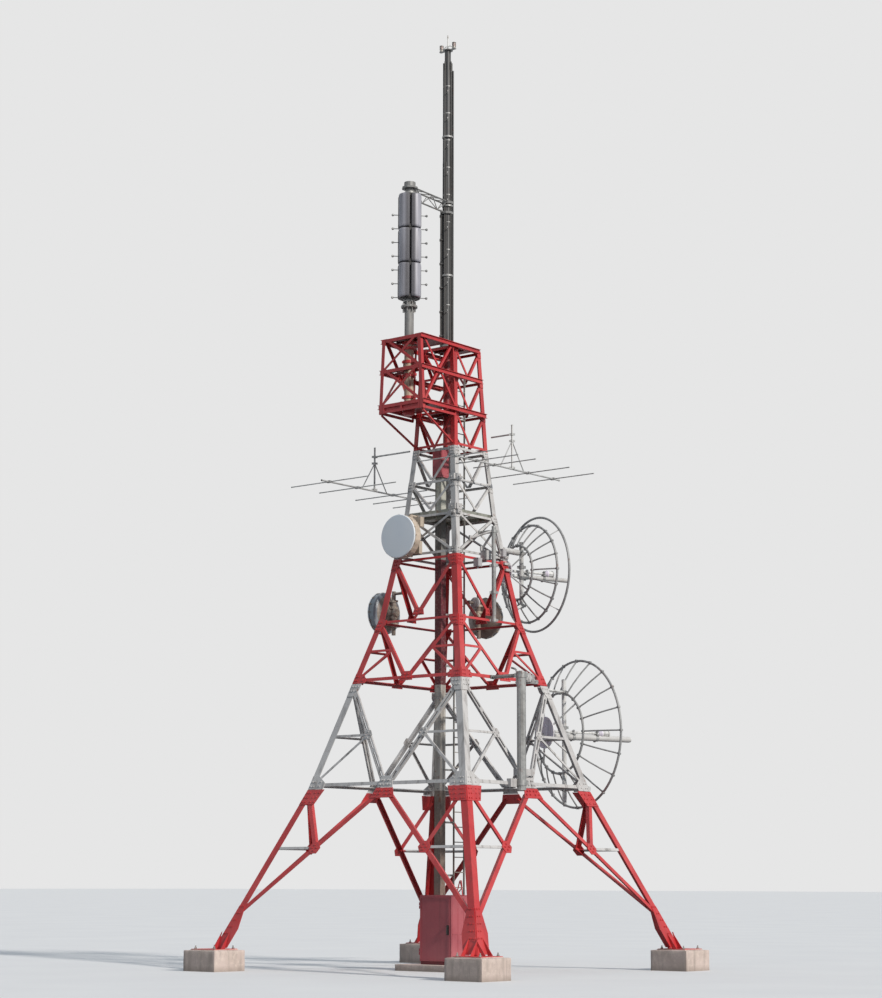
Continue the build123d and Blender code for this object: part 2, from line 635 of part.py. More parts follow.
with BuildPart() as climbing_ladder:
    with BuildSketch(Plane.XY.offset(SLAB_TOP)):
        with Locations(*[(LADDER_X, y) for y in LADDER_Y]):
            Rectangle(40, 12)
    extrude(amount=CAGE_FLOOR + 900 - SLAB_TOP)
    rungs = int((CAGE_FLOOR + 800 - SLAB_TOP) / RUNG_STEP)
    with BuildSketch(Plane.XZ.offset(-LADDER_Y[1] + 6)):
        with Locations(*[(LADDER_X, SLAB_TOP + RUNG_STEP * (k + 1)) for k in range(rungs)]):
            RegularPolygon(11, 6)
    extrude(amount=LADDER_Y[1] - LADDER_Y[0] - 12)
save(climbing_ladder, "climbing_ladder")

# ==== Masts: painted feet inside the cage, then the main mast with a conduit on short ties ===========
ROOF_TOP = CAGE_ROOF + DECK_THICK
CLAMP = (300.0, 12.0, 420.0)
with BuildPart() as mast_feet:
    for xy, low, radius in ((MAST_XY, ENCLOSURE[2], MAST_RADIUS),
                            (ANTENNA_XY, CAGE_FLOOR - DECK_THICK, ANTENNA_MAST_RADIUS)):
        with BuildSketch(Plane.XY.offset(low)):
            with Locations(xy):
                RegularPolygon(radius, 16)
        extrude(amount=ROOF_TOP - low)
    with Locations((*ANTENNA_XY, CAGE_RAIL)):
        Box(*CLAMP)
    with Locations((*ANTENNA_XY, CAGE_RAIL + PLATE_THICK / 2)):
        Box(CLAMP[0], 2 * (ANTENNA_MAST_RADIUS + 25), PLATE_THICK)
save(mast_feet, "mast_feet")

CONDUIT_TIES, CONDUIT_RADIUS = 8, 20.0
CONDUIT_SHIFT = (88.0, 71.0)
FLANGE_RADIUS, FLANGE_THICK = 125.0, 20.0
conduit_xy = (MAST_XY[0] + CONDUIT_SHIFT[0], MAST_XY[1] + CONDUIT_SHIFT[1])
with BuildPart() as mast_pole:
    for low, high, radius in ((ROOF_TOP, MAST_STEP, MAST_RADIUS), (MAST_STEP, MAST_TOP, MAST_TIP_RADIUS),
                              (ROOF_TOP, ROOF_TOP + FLANGE_THICK, FLANGE_RADIUS)):
        with BuildSketch(Plane.XY.offset(low)):
            with Locations(MAST_XY):
                RegularPolygon(radius, 16)
        extrude(amount=high - low)
    with BuildSketch(Plane.XY.offset(ROOF_TOP + 1)):
        with Locations(conduit_xy):
            RegularPolygon(CONDUIT_RADIUS, 8)
    extrude(amount=MAST_STEP - ROOF_TOP - 1)
    for k in range(CONDUIT_TIES):
        z = ROOF_TOP + 400 + k * (MAST_STEP - ROOF_TOP - 500) / (CONDUIT_TIES - 1)
        draw_rod((*MAST_XY, z), (*conduit_xy, z), 14)
save(mast_pole, "mast_pole")

with BuildPart() as mast_head:
    with BuildSketch(Plane.XY.offset(MAST_TOP)):
        with Locations(MAST_XY):
            RegularPolygon(110, 12)
            Rectangle(420, 60)
    extrude(amount=16)
    with BuildSketch(Plane.XY.offset(MAST_TOP + 16)):
        with Locations(MAST_XY):
            RegularPolygon(12, 6)
    extrude(amount=330)
save(mast_head, "mast_head")

with BuildPart() as obstruction_lights:
    with BuildSketch(Plane.XY.offset(MAST_TOP + 16)):
        with Locations(*[(MAST_XY[0] + dx, MAST_XY[1]) for dx in (-170, 170)]):
            RegularPolygon(45, 12)
    extrude(amount=150)
    chamfer(obstruction_lights.faces().sort_by(Axis.Z)[-2:].edges(), 20)
save(obstruction_lights, "obstruction_lights")

# ==== Antenna mast with its stacked panels: each tier has four rounded covers =========================
STACK_LOW, STACK_HIGH, TIERS = 13510.0, 15730.0, 3
SPOKE_REACH = 17.0
tier_height = (STACK_HIGH - STACK_LOW) / TIERS
with BuildPart() as antenna_mast:
    for low, high, radius in ((ROOF_TOP, STACK_HIGH + 170, ANTENNA_MAST_RADIUS),
                              (STACK_LOW - 200, STACK_LOW - 160, 170),
                              (STACK_HIGH + 150, STACK_HIGH + 250, 118)):
        with BuildSketch(Plane.XY.offset(low)):
            with Locations(ANTENNA_XY):
                RegularPolygon(radius, 16)
        extrude(amount=high - low)
    for tier in range(TIERS):
        low = STACK_LOW + tier * tier_height
        for z in (low + 120, low + tier_height - 150):
            for sx, sy in ((1, 0), (0, 1), (-1, 0), (0, -1)):
                reach = ANTENNA_MAST_RADIUS + SPOKE_REACH
                draw_rod((*ANTENNA_XY, z), (ANTENNA_XY[0] + sx * reach, ANTENNA_XY[1] + sy * reach, z), 20)
save(antenna_mast, "antenna_mast")

LOBE_RADIUS, LOBE_OFFSET = 165.0, 100.0
with BuildPart() as antenna_panels:
    for tier in range(TIERS):
        with BuildSketch(Plane.XY.offset(STACK_LOW + tier * tier_height)):
            for sx, sy in ((1, 0), (0, 1), (-1, 0), (0, -1)):
                with Locations((ANTENNA_XY[0] + sx * LOBE_OFFSET, ANTENNA_XY[1] + sy * LOBE_OFFSET)):
                    RegularPolygon(LOBE_RADIUS, 20)
            with Locations(ANTENNA_XY):
                Circle(ANTENNA_MAST_RADIUS + 20, mode=Mode.SUBTRACT)
            with Locations(Location((*ANTENNA_XY, 0), (0, 0, 45))):
                Rectangle(600, 22, mode=Mode.SUBTRACT)
                Rectangle(22, 600, mode=Mode.SUBTRACT)
        extrude(amount=tier_height - 26)
save(antenna_panels, "antenna_panels")

# ==== Lattice arm between the two masts ===============================================================
ARM_TOP, ARM_LOW, ARM_HALF, ARM_BAYS = 15865.0, 15640.0, 75.0, 4
with BuildPart() as antenna_bracket:
    front_y, back_y = ANTENNA_XY[1] + 150, MAST_XY[1] - MAST_RADIUS - 15
    joints = [front_y + (back_y - front_y) * k / ARM_BAYS for k in range(ARM_BAYS + 1)]
    shift = (MAST_XY[0] - ANTENNA_XY[0]) / (back_y - front_y)
    spots = [[(side * ARM_HALF + (y - front_y) * shift, y, ARM_TOP) for y in joints] for side in (-1, 1)]
    spots.append([((y - front_y) * shift, max(y, ANTENNA_XY[1] + 300), ARM_LOW) for y in joints])
    for chord in spots:
        draw_rod(chord[0], chord[-1], 17)
    for k in range(ARM_BAYS):
        for chord in spots[:2]:
            draw_rod(chord[k + k % 2], spots[2][k + 1 - k % 2], 9)
        draw_rod(spots[0][k], spots[1][k + 1], 9)
    for level in (ARM_TOP, ARM_LOW):
        with BuildSketch(Plane.XY.offset(level - 25)):
            with Locations(MAST_XY):
                RegularPolygon(MAST_RADIUS + 45, 8, rotation=22.5)
                RegularPolygon(MAST_RADIUS + 3, 16, mode=Mode.SUBTRACT)
            with Locations(conduit_xy):
                Circle(CONDUIT_RADIUS + 12, mode=Mode.SUBTRACT)
        extrude(amount=50)
    with BuildSketch(Plane.XY.offset(ARM_TOP - 25)):
        with Locations(ANTENNA_XY):
            RegularPolygon(ANTENNA_MAST_RADIUS + 75, 8, rotation=22.5)
            RegularPolygon(ANTENNA_MAST_RADIUS + 3, 16, mode=Mode.SUBTRACT)
    extrude(amount=36)
save(antenna_bracket, "antenna_bracket")

# ==== Yagi antennas on outriggers =====================================================================
ELEMENT_HALF = 1050.0
YAGI_ELEMENTS = (-1840.0, -1180.0, -600.0, 550.0, 1420.0)


def yagi(direction, post_x, height, leg_x):
    """A post held off a leg, with a boom along Y and elements along X."""
    post_y = direction * 550.0
    draw_rod((post_x, post_y, height), (post_x, post_y, height + 900), 20)
    draw_rod((leg_x, post_y, height + 700), (post_x, post_y, height + 700), 18)
    boom_z = height - 30
    draw_rod((post_x, post_y - direction * 1880, boom_z), (post_x, post_y + direction * 1650, boom_z), 18)
    for along in YAGI_ELEMENTS:
        y = post_y + direction * along
        clear_x = half_width(height) + 60
        inner = clear_x if abs(y) < clear_x else abs(post_x) - ELEMENT_HALF
        draw_rod((direction * inner, y, boom_z), (post_x + direction * ELEMENT_HALF, y, boom_z), 12)
    for along in (-400, 400):
        draw_rod((post_x, post_y, height + 560), (post_x, post_y + along, boom_z), 12)


with BuildPart() as yagi_right:
    yagi(1, 1180.0, 10130.0, 640.0)
save(yagi_right, "yagi_right")
with BuildPart() as yagi_left:
    yagi(-1, -1600.0, 9820.0, -640.0)
save(yagi_left, "yagi_left")

# ==== Grid dishes: rings joined by ribs that follow a parabola ========================================
RIB_FACETS = 3
RING_SIDES = 40


class Dish:
    """A grid reflector with its vertex at centre, opening along its axis."""

    def __init__(self, centre, focal, rim, rib_ends, ribs):
        self.centre = Vector(*centre)
        self.axis = DISH_AXIS
        self.across = Vector(-self.axis.Y, self.axis.X, 0)
        self.focal, self.rim, self.rib_ends, self.ribs = focal, rim, rib_ends, ribs

    def depth(self, radius):
        """How far the parabola stands in front of its vertex."""
        return radius ** 2 / (4 * self.focal)

    def on_axis(self, distance):
        """A point on the axis."""
        return self.centre + self.axis * distance

    def draw_ring(self, radius, bar):
        """A many-sided ring of square bar."""
        back = self.on_axis(self.depth(radius) - bar / 2)
        with BuildSketch(Plane(origin=back, x_dir=self.across, z_dir=self.axis)) as section:
            RegularPolygon(radius + bar / 2, RING_SIDES)
            RegularPolygon(radius - bar / 2, RING_SIDES, mode=Mode.SUBTRACT)
        extrude(section.sketch, amount=bar)

    def draw_rib(self, turn, bar):
        """One curved rib between the ring radii, on a plane through the axis."""
        out = self.across * cos(turn) + Vector(0, 0, 1) * sin(turn)
        start, end = self.rib_ends
        with BuildSketch(Plane(origin=self.centre, x_dir=out, z_dir=out.cross(self.axis))) as section:
            with BuildLine():
                radii = [start + (end - start) * k / RIB_FACETS for k in range(RIB_FACETS + 1)]
                back = [(r, self.depth(r) - bar / 2) for r in radii]
                front = [(r, self.depth(r) + bar / 2) for r in reversed(radii)]
                Polyline(back + front, close=True)
            make_face()
        extrude(section.sketch, amount=bar / 2, both=True)


DISH_TURN = radians(18.9)
DISH_AXIS = Vector(sin(DISH_TURN), cos(DISH_TURN), 0)
BOOM_DROP = 70.0      # the boom hangs this far under the dish's axis
FEED_LIFT = 30.0      # the feed's rod runs this far over the axis
FEED = (0.62, 0.7)    # the feed's place on its rod, as shares of the boom's front length
FEED_RADIUS = 72.0
STAY_TURNS = (45, 135, 225, 315)
lower_dish = Dish((1103.0, 1995.0, 4780.0), 910.0, 1520.0, (830.0, 1520.0), 20)
upper_dish = Dish((555.0, 1331.0, 8100.0), 570.0, 1200.0, (570.0, 1020.0), 20)


def draw_block(x, y, z, size_x, size_y, height=80.0):
    """A foot plate or packing block."""
    with Locations((x, y, z)):
        Box(size_x, size_y, height)


def draw_arm(start, end, radius, foot):
    """A square arm that ends inside its foot block."""
    draw_rod(start, end, radius, 4)
    draw_block(*end, *foot)


def draw_grid_dish(dish, ring_bar, rib_bar, boom, hub_radius):
    """Rings, ribs, stays, the boom under the axis and the feed on its rod."""
    inner = dish.rib_ends[0]
    for radius in sorted({*dish.rib_ends, dish.rim}):
        dish.draw_ring(radius, ring_bar)
    for k in range(dish.ribs):
        dish.draw_rib(2 * pi * k / dish.ribs, rib_bar)
    back, front, boom_radius = boom
    drop, lift = Vector(0, 0, -BOOM_DROP), Vector(0, 0, FEED_LIFT)
    draw_rod(dish.on_axis(back) + drop, dish.on_axis(front) + drop, boom_radius, 12)
    draw_rod(dish.on_axis(back + 60), dish.on_axis(back + 72), hub_radius, 16)
    for turn in STAY_TURNS:
        out = dish.across * cos(radians(turn)) + Vector(0, 0, 1) * sin(radians(turn))
        draw_rod(dish.on_axis(back + 66), dish.on_axis(dish.depth(inner)) + out * (inner - 5), rib_bar)
    draw_rod(dish.on_axis(back + 66) + lift, dish.on_axis(front * 0.72) + lift, 26, 8)
    draw_rod(dish.on_axis(front * FEED[0]) + lift, dish.on_axis(front * FEED[1]) + lift, FEED_RADIUS, 10)
    for share in (0.26, 0.56):
        draw_rod(dish.on_axis(front * share) + drop, dish.on_axis(front * share) + lift, 16)


def draw_dish_mast(dish, xy, low, high, radius):
    """The upright that carries a grid dish beside its boom."""
    draw_rod((*xy, low), (*xy, high), radius, 12)
    along = (Vector(*xy, 0) - Vector(dish.centre.X, dish.centre.Y, 0)).dot(dish.axis)
    draw_rod(dish.on_axis(along), (*xy, dish.centre.Z), 42, 8)


# Each grid dish's mast is tied back to the tower by an arm near its top and one near its foot.
LOWER_MAST_XY, LOWER_MAST = (1283.0, 2167.0), (3350.0, 5870.0, 47.0)
LOWER_TOP_ARM, LOWER_FOOT_ARM = (1325.0, 5620.0), (1920.0, 3620.0)
with BuildPart() as grid_dish_lower:
    draw_grid_dish(lower_dish, 32, 20, (-250, 2000, 55), 330)
    draw_dish_mast(lower_dish, LOWER_MAST_XY, *LOWER_MAST)
    for (x, z), foot_z, out, foot in ((LOWER_TOP_ARM, 5575, 20, (140, 12)),
                                      (LOWER_FOOT_ARM, 3580, 47, (140, 66))):
        draw_arm((*LOWER_MAST_XY, z), (x, half_width(foot_z) + out, z), 32, foot)
save(grid_dish_lower, "grid_dish_lower")

UPPER_MAST_XY, UPPER_MAST = (712.0, 1479.0), (7350.0, 8720.0, 45.0)
with BuildPart() as grid_dish_upper:
    draw_grid_dish(upper_dish, 28, 18, (-200, 1455, 40), 230)
    rib_end, rim = upper_dish.rib_ends[1], upper_dish.rim
    for turn in STAY_TURNS:
        out = upper_dish.across * cos(radians(turn)) + Vector(0, 0, 1) * sin(radians(turn))
        draw_rod(upper_dish.on_axis(upper_dish.depth(rib_end)) + out * (rib_end - 5),
                 upper_dish.on_axis(upper_dish.depth(rim)) + out * (rim - 5), 12)
    draw_dish_mast(upper_dish, UPPER_MAST_XY, *UPPER_MAST)
    draw_arm((*UPPER_MAST_XY, 8500), (720, half_width(8460) + 7, 8500), 40, (110, 12))
    draw_arm((*UPPER_MAST_XY, 7400), (900, half_width(7220) + 23, 7260), 40, (110, 44))
save(grid_dish_upper, "grid_dish_upper")

# ==== Free poles on the right side: one on the knee ring, one at the bend =============================
THICK_POLE_XY, THICK_POLE = (2120.0, -410.0), (3500.0, 5800.0, 90.0)
THIN_POLE_XY, THIN_POLE = (1105.0, 30.0), (6900.0, 8840.0, 45.0)
THICK_ARM_Z, THIN_ARM_Z = 5740.0, 8750.0
BEAM_FACE = 1.0       # feet stand this far off a beam's face
with BuildPart() as dish_poles:
    x, y = THICK_POLE_XY
    draw_rod((x, y, THICK_POLE[0]), (x, y, THICK_POLE[1]), THICK_POLE[2], 12)
    beam_x = half_width(3600) + BEAM_FACE
    draw_block((beam_x + x) / 2, y, 3640, x - beam_x, 140)
    beam_x = half_width(5700) + BEAM_FACE
    draw_arm((x, y, THICK_ARM_Z), (beam_x + 6, y, THICK_ARM_Z), 38, (12, 140))
    draw_arm((x, y, THICK_ARM_Z), (beam_x + 36, 950, THICK_ARM_Z), 38, (72, 140))
    x, y = THIN_POLE_XY
    draw_rod((x, y, THIN_POLE[0]), (x, y, THIN_POLE[1]), THIN_POLE[2], 12)
    beam_x = half_width(6905) + BEAM_FACE
    draw_block((beam_x + x) / 2, y, 6935, x - beam_x, 110, 60)
    draw_arm((x, y, THIN_ARM_Z), (half_width(8710) + 7, y, THIN_ARM_Z), 36, (12, 110))
save(dish_poles, "dish_poles")


# ==== Solid dishes: many-sided shells on short poles ===================================================
SHELL_SIDES = 28


def draw_shell(centre, facing, outline):
    """A shell of flat faces through (distance forward, radius) rings along the facing axis."""
    turns = [2 * pi * k / SHELL_SIDES for k in range(SHELL_SIDES)]
    along, up = Vector(*facing), Vector(0, 0, 1)
    across = up.cross(along)
    rings = [[Vector(*centre) + along * distance + (across * cos(t) + up * sin(t)) * radius for t in turns]
             for distance, radius in outline]
    skin = [Face(Wire.make_polygon(rings[0])), Face(Wire.make_polygon(rings[-1]))]
    for back, front in zip(rings, rings[1:]):
        for k in range(SHELL_SIDES):
            skin.append(Face(Wire.make_polygon([back[k - 1], back[k], front[k], front[k - 1]])))
    add(Solid(Shell(skin)))


def draw_pole(xy, low, high, radius):
    """A round upright."""
    draw_rod((*xy, low), (*xy, high), radius, 12)


DRUM_POLE_XY, DRUM_POLE = (-340.0, -870.0), (8250.0, 9120.0, 45.0)
DRUM_Z, DRUM_FOOT_Z, DRUM_ARM_Z = 8630.0, 8305.0, 9095.0
DRUM = [(20, 110), (75, 130), (140, 350), (205, 440), (395, 440), (410, 425)]
with BuildPart() as drum_dish:
    x, y = DRUM_POLE_XY
    draw_shell((x, y, DRUM_Z), (0, -1, 0), DRUM)
    draw_pole(DRUM_POLE_XY, *DRUM_POLE)
    face_y = -half_width(8270) - BEAM_FACE
    draw_block(x, (face_y + y) / 2, DRUM_FOOT_Z, 100, face_y - y, 50)
    draw_arm((x, y, DRUM_ARM_Z), (x, -half_width(9065) - 7, DRUM_ARM_Z), 30, (100, 12, 56))
save(drum_dish, "drum_dish")

SHELL = [(20, 60), (60, 90), (95, 260), (150, 365), (190, 430), (345, 430)]
RIGHT_SHELL = [(20, 55), (60, 85), (95, 255), (150, 360), (190, 425), (290, 425)]
SIDE_POLE = (6750.0, 7660.0, 42.0)
SIDE_FOOT_Z = 6935.0
LEFT_POLE_XY, RIGHT_POLE_XY = (-1195.0, -378.0), (-190.0, 1185.0)
with BuildPart() as dish_left:
    x, y = LEFT_POLE_XY
    draw_shell((x, y, 7220), (-1, 0, 0), SHELL)
    draw_pole(LEFT_POLE_XY, *SIDE_POLE)
    beam_x = half_width(6905) + BEAM_FACE
    draw_block((x - beam_x) / 2, y, SIDE_FOOT_Z, -x - beam_x, 90, 55)
    draw_arm((x, y, 7610), (-half_width(7565) - 7, y, 7610), 30, (12, 120))
save(dish_left, "dish_left")

with BuildPart() as dish_right:
    x, y = RIGHT_POLE_XY
    draw_shell((x, y, 7200), (0, 1, 0), RIGHT_SHELL)
    draw_pole(RIGHT_POLE_XY, *SIDE_POLE)
    beam_y = half_width(6905) + BEAM_FACE
    draw_block(x, (y + beam_y) / 2, SIDE_FOOT_Z, 90, y - beam_y, 55)
    draw_arm((x, y, 7500), (-315, half_width(7460) + 23, 7500), 30, (120, 44))
save(dish_right, "dish_right")
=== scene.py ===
import json
from collections import namedtuple
from itertools import product
from math import cos, pi, radians, sin, sqrt

import bmesh
import bpy
from mathutils import Matrix, Vector, noise


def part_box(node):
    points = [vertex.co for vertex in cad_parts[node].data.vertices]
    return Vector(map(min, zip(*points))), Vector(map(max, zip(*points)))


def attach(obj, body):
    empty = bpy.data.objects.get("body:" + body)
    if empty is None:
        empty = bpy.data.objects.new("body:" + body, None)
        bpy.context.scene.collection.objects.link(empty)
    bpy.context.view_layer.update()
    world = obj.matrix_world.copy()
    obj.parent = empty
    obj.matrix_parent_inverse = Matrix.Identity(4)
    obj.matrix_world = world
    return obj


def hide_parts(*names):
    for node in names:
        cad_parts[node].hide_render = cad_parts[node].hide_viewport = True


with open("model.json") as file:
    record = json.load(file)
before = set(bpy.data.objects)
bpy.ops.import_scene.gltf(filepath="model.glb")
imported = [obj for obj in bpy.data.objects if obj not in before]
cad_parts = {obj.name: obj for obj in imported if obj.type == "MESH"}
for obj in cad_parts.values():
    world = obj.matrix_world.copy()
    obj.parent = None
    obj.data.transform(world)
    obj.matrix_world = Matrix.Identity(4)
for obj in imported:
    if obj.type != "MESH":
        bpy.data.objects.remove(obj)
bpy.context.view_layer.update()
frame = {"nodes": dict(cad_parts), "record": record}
X, Y, Z = Vector((1, 0, 0)), Vector((0, 1, 0)), Vector((0, 0, 1))
CORNERS = tuple(product((-1, 1), repeat=2))


class Box:
    """The box round a node of the solids."""

    def __init__(self, node):
        self.low, self.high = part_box(node)
        self.mid, self.size = (self.low + self.high) / 2, self.high - self.low


# ==== Materials ====
def linear(colour):
    """A display colour as a linear one; no channel is near black."""
    return (*(((c / 255 + 0.055) / 1.055) ** 2.4 for c in bytes.fromhex(colour)), 1.0)


class Finish:
    """A procedural material, built up in layers over the object's own coordinates."""

    def __init__(self, name, colour, roughness, metallic=0.0, bump=0.0):
        self.material = bpy.data.materials.new(name)
        self.material.use_nodes = True
        self.nodes, self.links = self.material.node_tree.nodes, self.material.node_tree.links
        self.shader = self.nodes["Principled BSDF"]
        self.place = self.nodes.new("ShaderNodeTexCoord").outputs["Object"]
        self.shader.inputs["Metallic"].default_value = metallic
        self.shader.inputs["Roughness"].default_value = roughness
        self.colour, self.roughness, self.height, self.bump = linear(colour), roughness, None, bump

    def feed(self, value, socket):
        """A linked value or a constant into a socket."""
        if isinstance(value, (int, float, tuple)):
            socket.default_value = value
        else:
            self.links.new(value, socket)

    def node(self, kind, inputs):
        """A new shader node, its inputs fed by name."""
        node = self.nodes.new("ShaderNode" + kind)
        for name, value in inputs.items():
            self.feed(value, node.inputs[name])
        return node

    def noise(self, scale, detail=4.0, low=0.35, high=0.65, shift=0.0, stretch=(1, 1, 1)):
        """Clouds from 0 to 1; a stretch under 1 draws them out along that axis."""
        mapping = self.node("Mapping", {"Scale": stretch, "Location": (shift,) * 3, "Vector": self.place})
        inputs = {"Scale": scale, "Detail": detail, "Vector": mapping.outputs["Vector"]}
        return self.ranged(self.node("TexNoise", inputs).outputs["Fac"], low, high)

    def cells(self, scale):
        """Grey cells, each with its own tone."""
        texture = self.node("TexVoronoi", {"Scale": scale, "Vector": self.place})
        split = self.node("SeparateColor", {"Color": texture.outputs["Color"]})
        return self.ranged(split.outputs["Red"], 0.0, 1.0)

    def pits(self, scale, radius):
        """Small round spots, 1 in the middle of each."""
        texture = self.node("TexVoronoi", {"Scale": scale, "Vector": self.place})
        return self.ranged(texture.outputs["Distance"], radius, radius * 0.4)

    def along(self, axis, low, high):
        """0 to 1 along X, Y or Z between two places."""
        return self.ranged(self.node("SeparateXYZ", {"Vector": self.place}).outputs[axis], low, high)

    def ranged(self, socket, low, high):
        """The socket's values from low to high, spread over 0 to 1."""
        return self.node("MapRange", {"From Min": low, "From Max": high, "Value": socket}).outputs["Result"]

    def maths(self, operation, a, b):
        """Two values combined, and kept within 0 and 1."""
        node = self.node("Math", {0: a, 1: b})
        node.operation, node.use_clamp = operation, True
        return node.outputs[0]

    def mixed(self, kind, mask, without, with_mask):
        """One value where the mask is 0 and another where it is 1."""
        mix = self.nodes.new("ShaderNodeMix")
        mix.data_type = kind
        for name, value in (("Factor", mask), ("A", without), ("B", with_mask)):
            self.feed(value, mix.inputs[name])
        return mix.outputs["Result"]

    def lay(self, mask, colour, share=1.0, roughness=None, height=0.0):
        """Another colour where the mask is 1, with its own roughness and a little relief."""
        if share != 1.0:
            mask = self.maths("MULTIPLY", mask, share)
        self.colour = self.mixed("RGBA", mask, self.colour, linear(colour))
        if roughness is not None:
            self.roughness = self.mixed("FLOAT", mask, self.roughness, roughness)
        if height:
            self.raise_by(mask, height)

    def cloud(self, noise, *layer, **relief):
        """A layer over clouds of noise."""
        self.lay(self.noise(*noise), *layer, **relief)

    def raise_by(self, mask, height):
        """Relief where the mask is 1, in parts of the bump distance; never a hollow at first."""
        part = self.maths("MULTIPLY", mask, abs(height))
        if self.height is None:
            self.height = part
        else:
            self.height = self.maths("ADD" if height > 0 else "SUBTRACT", self.height, part)

    def done(self):
        """Wires the layers into the shader."""
        self.feed(self.colour, self.shader.inputs["Base Color"])
        self.feed(self.roughness, self.shader.inputs["Roughness"])
        if self.height is not None:
            bump = self.node("Bump", {"Distance": self.bump, "Height": self.height})
            self.feed(bump.outputs["Normal"], self.shader.inputs["Normal"])
        return self.material


RUST, RUST_DARK, GRIME = "7a4226", "48261a", "3e3834"
STREAK = (9, 9, 0.55)


def paint(name, colour, faded, deep, rust=0.5, grime=0.5, roughness=0.42):
    """Weathered paint: chalky patches, runs of dirt and specks of rust."""
    made = Finish(name, colour, roughness, bump=0.004)
    made.cloud((0.9, 6, 0.4, 0.7), faded, 0.75, roughness + 0.18)
    made.cloud((2.3, 5, 0.5, 0.75, 7), deep, 0.55)
    made.cloud((1.0, 5, 0.52, 0.72, 0, STREAK), GRIME, 0.55 * grime, 0.7)
    made.cloud((38, 3, 0.55, 0.75), faded, 0.25, height=0.12)
    spots = made.maths("MULTIPLY", made.noise(14, 8, 0.63, 0.69), made.noise(0.8, 3, 0.45, 0.65, 3))
    made.lay(spots, RUST, rust, 0.85, height=0.25)
    made.cloud((1.3, 6, 0.64, 0.76, 11, (7, 7, 0.35)), RUST_DARK, 0.6 * rust, 0.85)
    made.raise_by(made.noise(160, 2, 0.3, 0.7), 0.06)
    return made.done()


def zinc(name, colour="969796", dark="5c5d5f", light="bcbcba", rust=0.35, metallic=0.55):
    """Dull hot-dip zinc with spangle, white bloom and dirt."""
    made = Finish(name, colour, 0.48, metallic, bump=0.003)
    made.lay(made.cells(42), dark, 0.35, 0.38)
    made.lay(made.cells(17), light, 0.3, 0.55)
    made.cloud((2.2, 6, 0.48, 0.7), light, 0.6, 0.68, height=0.1)
    made.cloud((1.2, 5, 0.5, 0.7, 0, STREAK), GRIME, 0.45, 0.7)
    made.cloud((9, 8, 0.62, 0.7, 5), RUST, rust, 0.85, height=0.2)
    made.raise_by(made.noise(120, 2), 0.08)
    return made.done()


def concrete(name):
    """Cast concrete: shutter lines, pinholes, damp at the foot and pale patches of lime."""
    made = Finish(name, "d8c6bd", 0.88, bump=0.012)
    made.cloud((2.6, 8, 0.35, 0.7), "c4b3a8", 0.8, height=0.1)
    made.cloud((11, 6, 0.5, 0.72, 2), "e8d8cc", 0.6, height=0.12)
    made.cloud((1.5, 6, 0.5, 0.72, 9, (5, 5, 0.8)), "80746a", 0.45)
    made.lay(made.along("Z", 0.12, 0.0), "7c6e62", 0.5)
    made.lay(made.pits(34, 0.16), "625a52", 0.8, height=-0.5)
    made.lay(made.pits(90, 0.2), "787066", 0.6, height=-0.2)
    made.raise_by(made.noise(55, 6), 0.14)
    return made.done()


def banded(name, bands):
    """Paint that changes at given heights, mostly the tower's colour bands: (height, colour) from the ground
    up.
    """
    made = Finish(name, bands[0][1], 0.55, bump=0.003)
    for height, colour in bands[1:]:
        made.lay(made.along("Z", height - 0.004, height + 0.004), colour)
    made.cloud((1.4, 6, 0.45, 0.7, 0, STREAK), GRIME, 0.5, 0.75)
    made.cloud((26, 5, 0.5, 0.75), "b0a69c", 0.3, height=0.15)
    made.cloud((12, 8, 0.62, 0.7, 4), RUST, 0.5, 0.85, height=0.2)
    return made.done()


def plastic(name, colour, worn, roughness, streaks):
    """Weathered moulded cover or cable sheath."""
    made = Finish(name, colour, roughness, bump=0.002)
    made.cloud((1.7, 5, 0.4, 0.7), worn, 0.6, roughness + 0.12)
    made.cloud((1.2, 5, 0.5, 0.72, 6, STREAK), GRIME, streaks, 0.7)
    made.cloud((70, 3, 0.5, 0.75), worn, 0.3, height=0.2)
    return made.done()


def shell(name, front, rear, axis, split, facing):
    """A dish whose shroud and rear shell part at a place along an axis."""
    made = Finish(name, rear, 0.42, bump=0.003)
    made.cloud((5, 6, 0.4, 0.7), "7a7064", 0.45, 0.6)
    made.lay(made.along(axis, split, split + 0.006 * facing), front, 1.0, 0.35)
    made.cloud((3, 6, 0.5, 0.72), GRIME, 0.3, 0.6)
    made.cloud((48, 3, 0.55, 0.75), "c4c0b8", 0.25, height=0.2)
    return made.done()


def radome(name, colour, worn, at):
    """Grey covers round an upright axis, darkened along the diagonal grooves with painted shade."""
    made = Finish(name, colour, 0.4, 0.15, bump=0.002)
    made.cloud((1.7, 5, 0.4, 0.7), worn, 0.6, 0.5)
    reach = [made.maths("ADD", made.along(axis, place, place + 1), made.along(axis, place, place - 1))
             for axis, place in (("X", at.x), ("Y", at.y))]
    away = made.maths("ADD", made.maths("SUBTRACT", *reach), made.maths("SUBTRACT", *reach[::-1]))
    # Painted shade: the covers turn dark grey near the diagonal grooves between the lobes, where shade falls
    # in the recesses.
    made.lay(made.ranged(away, 0.2, 0.11), "464549", 0.9, 0.6)
    made.cloud((1.2, 5, 0.5, 0.72, 6, STREAK), GRIME, 0.4, 0.7)
    made.cloud((70, 3, 0.5, 0.75), worn, 0.2, height=0.2)
    return made.done()


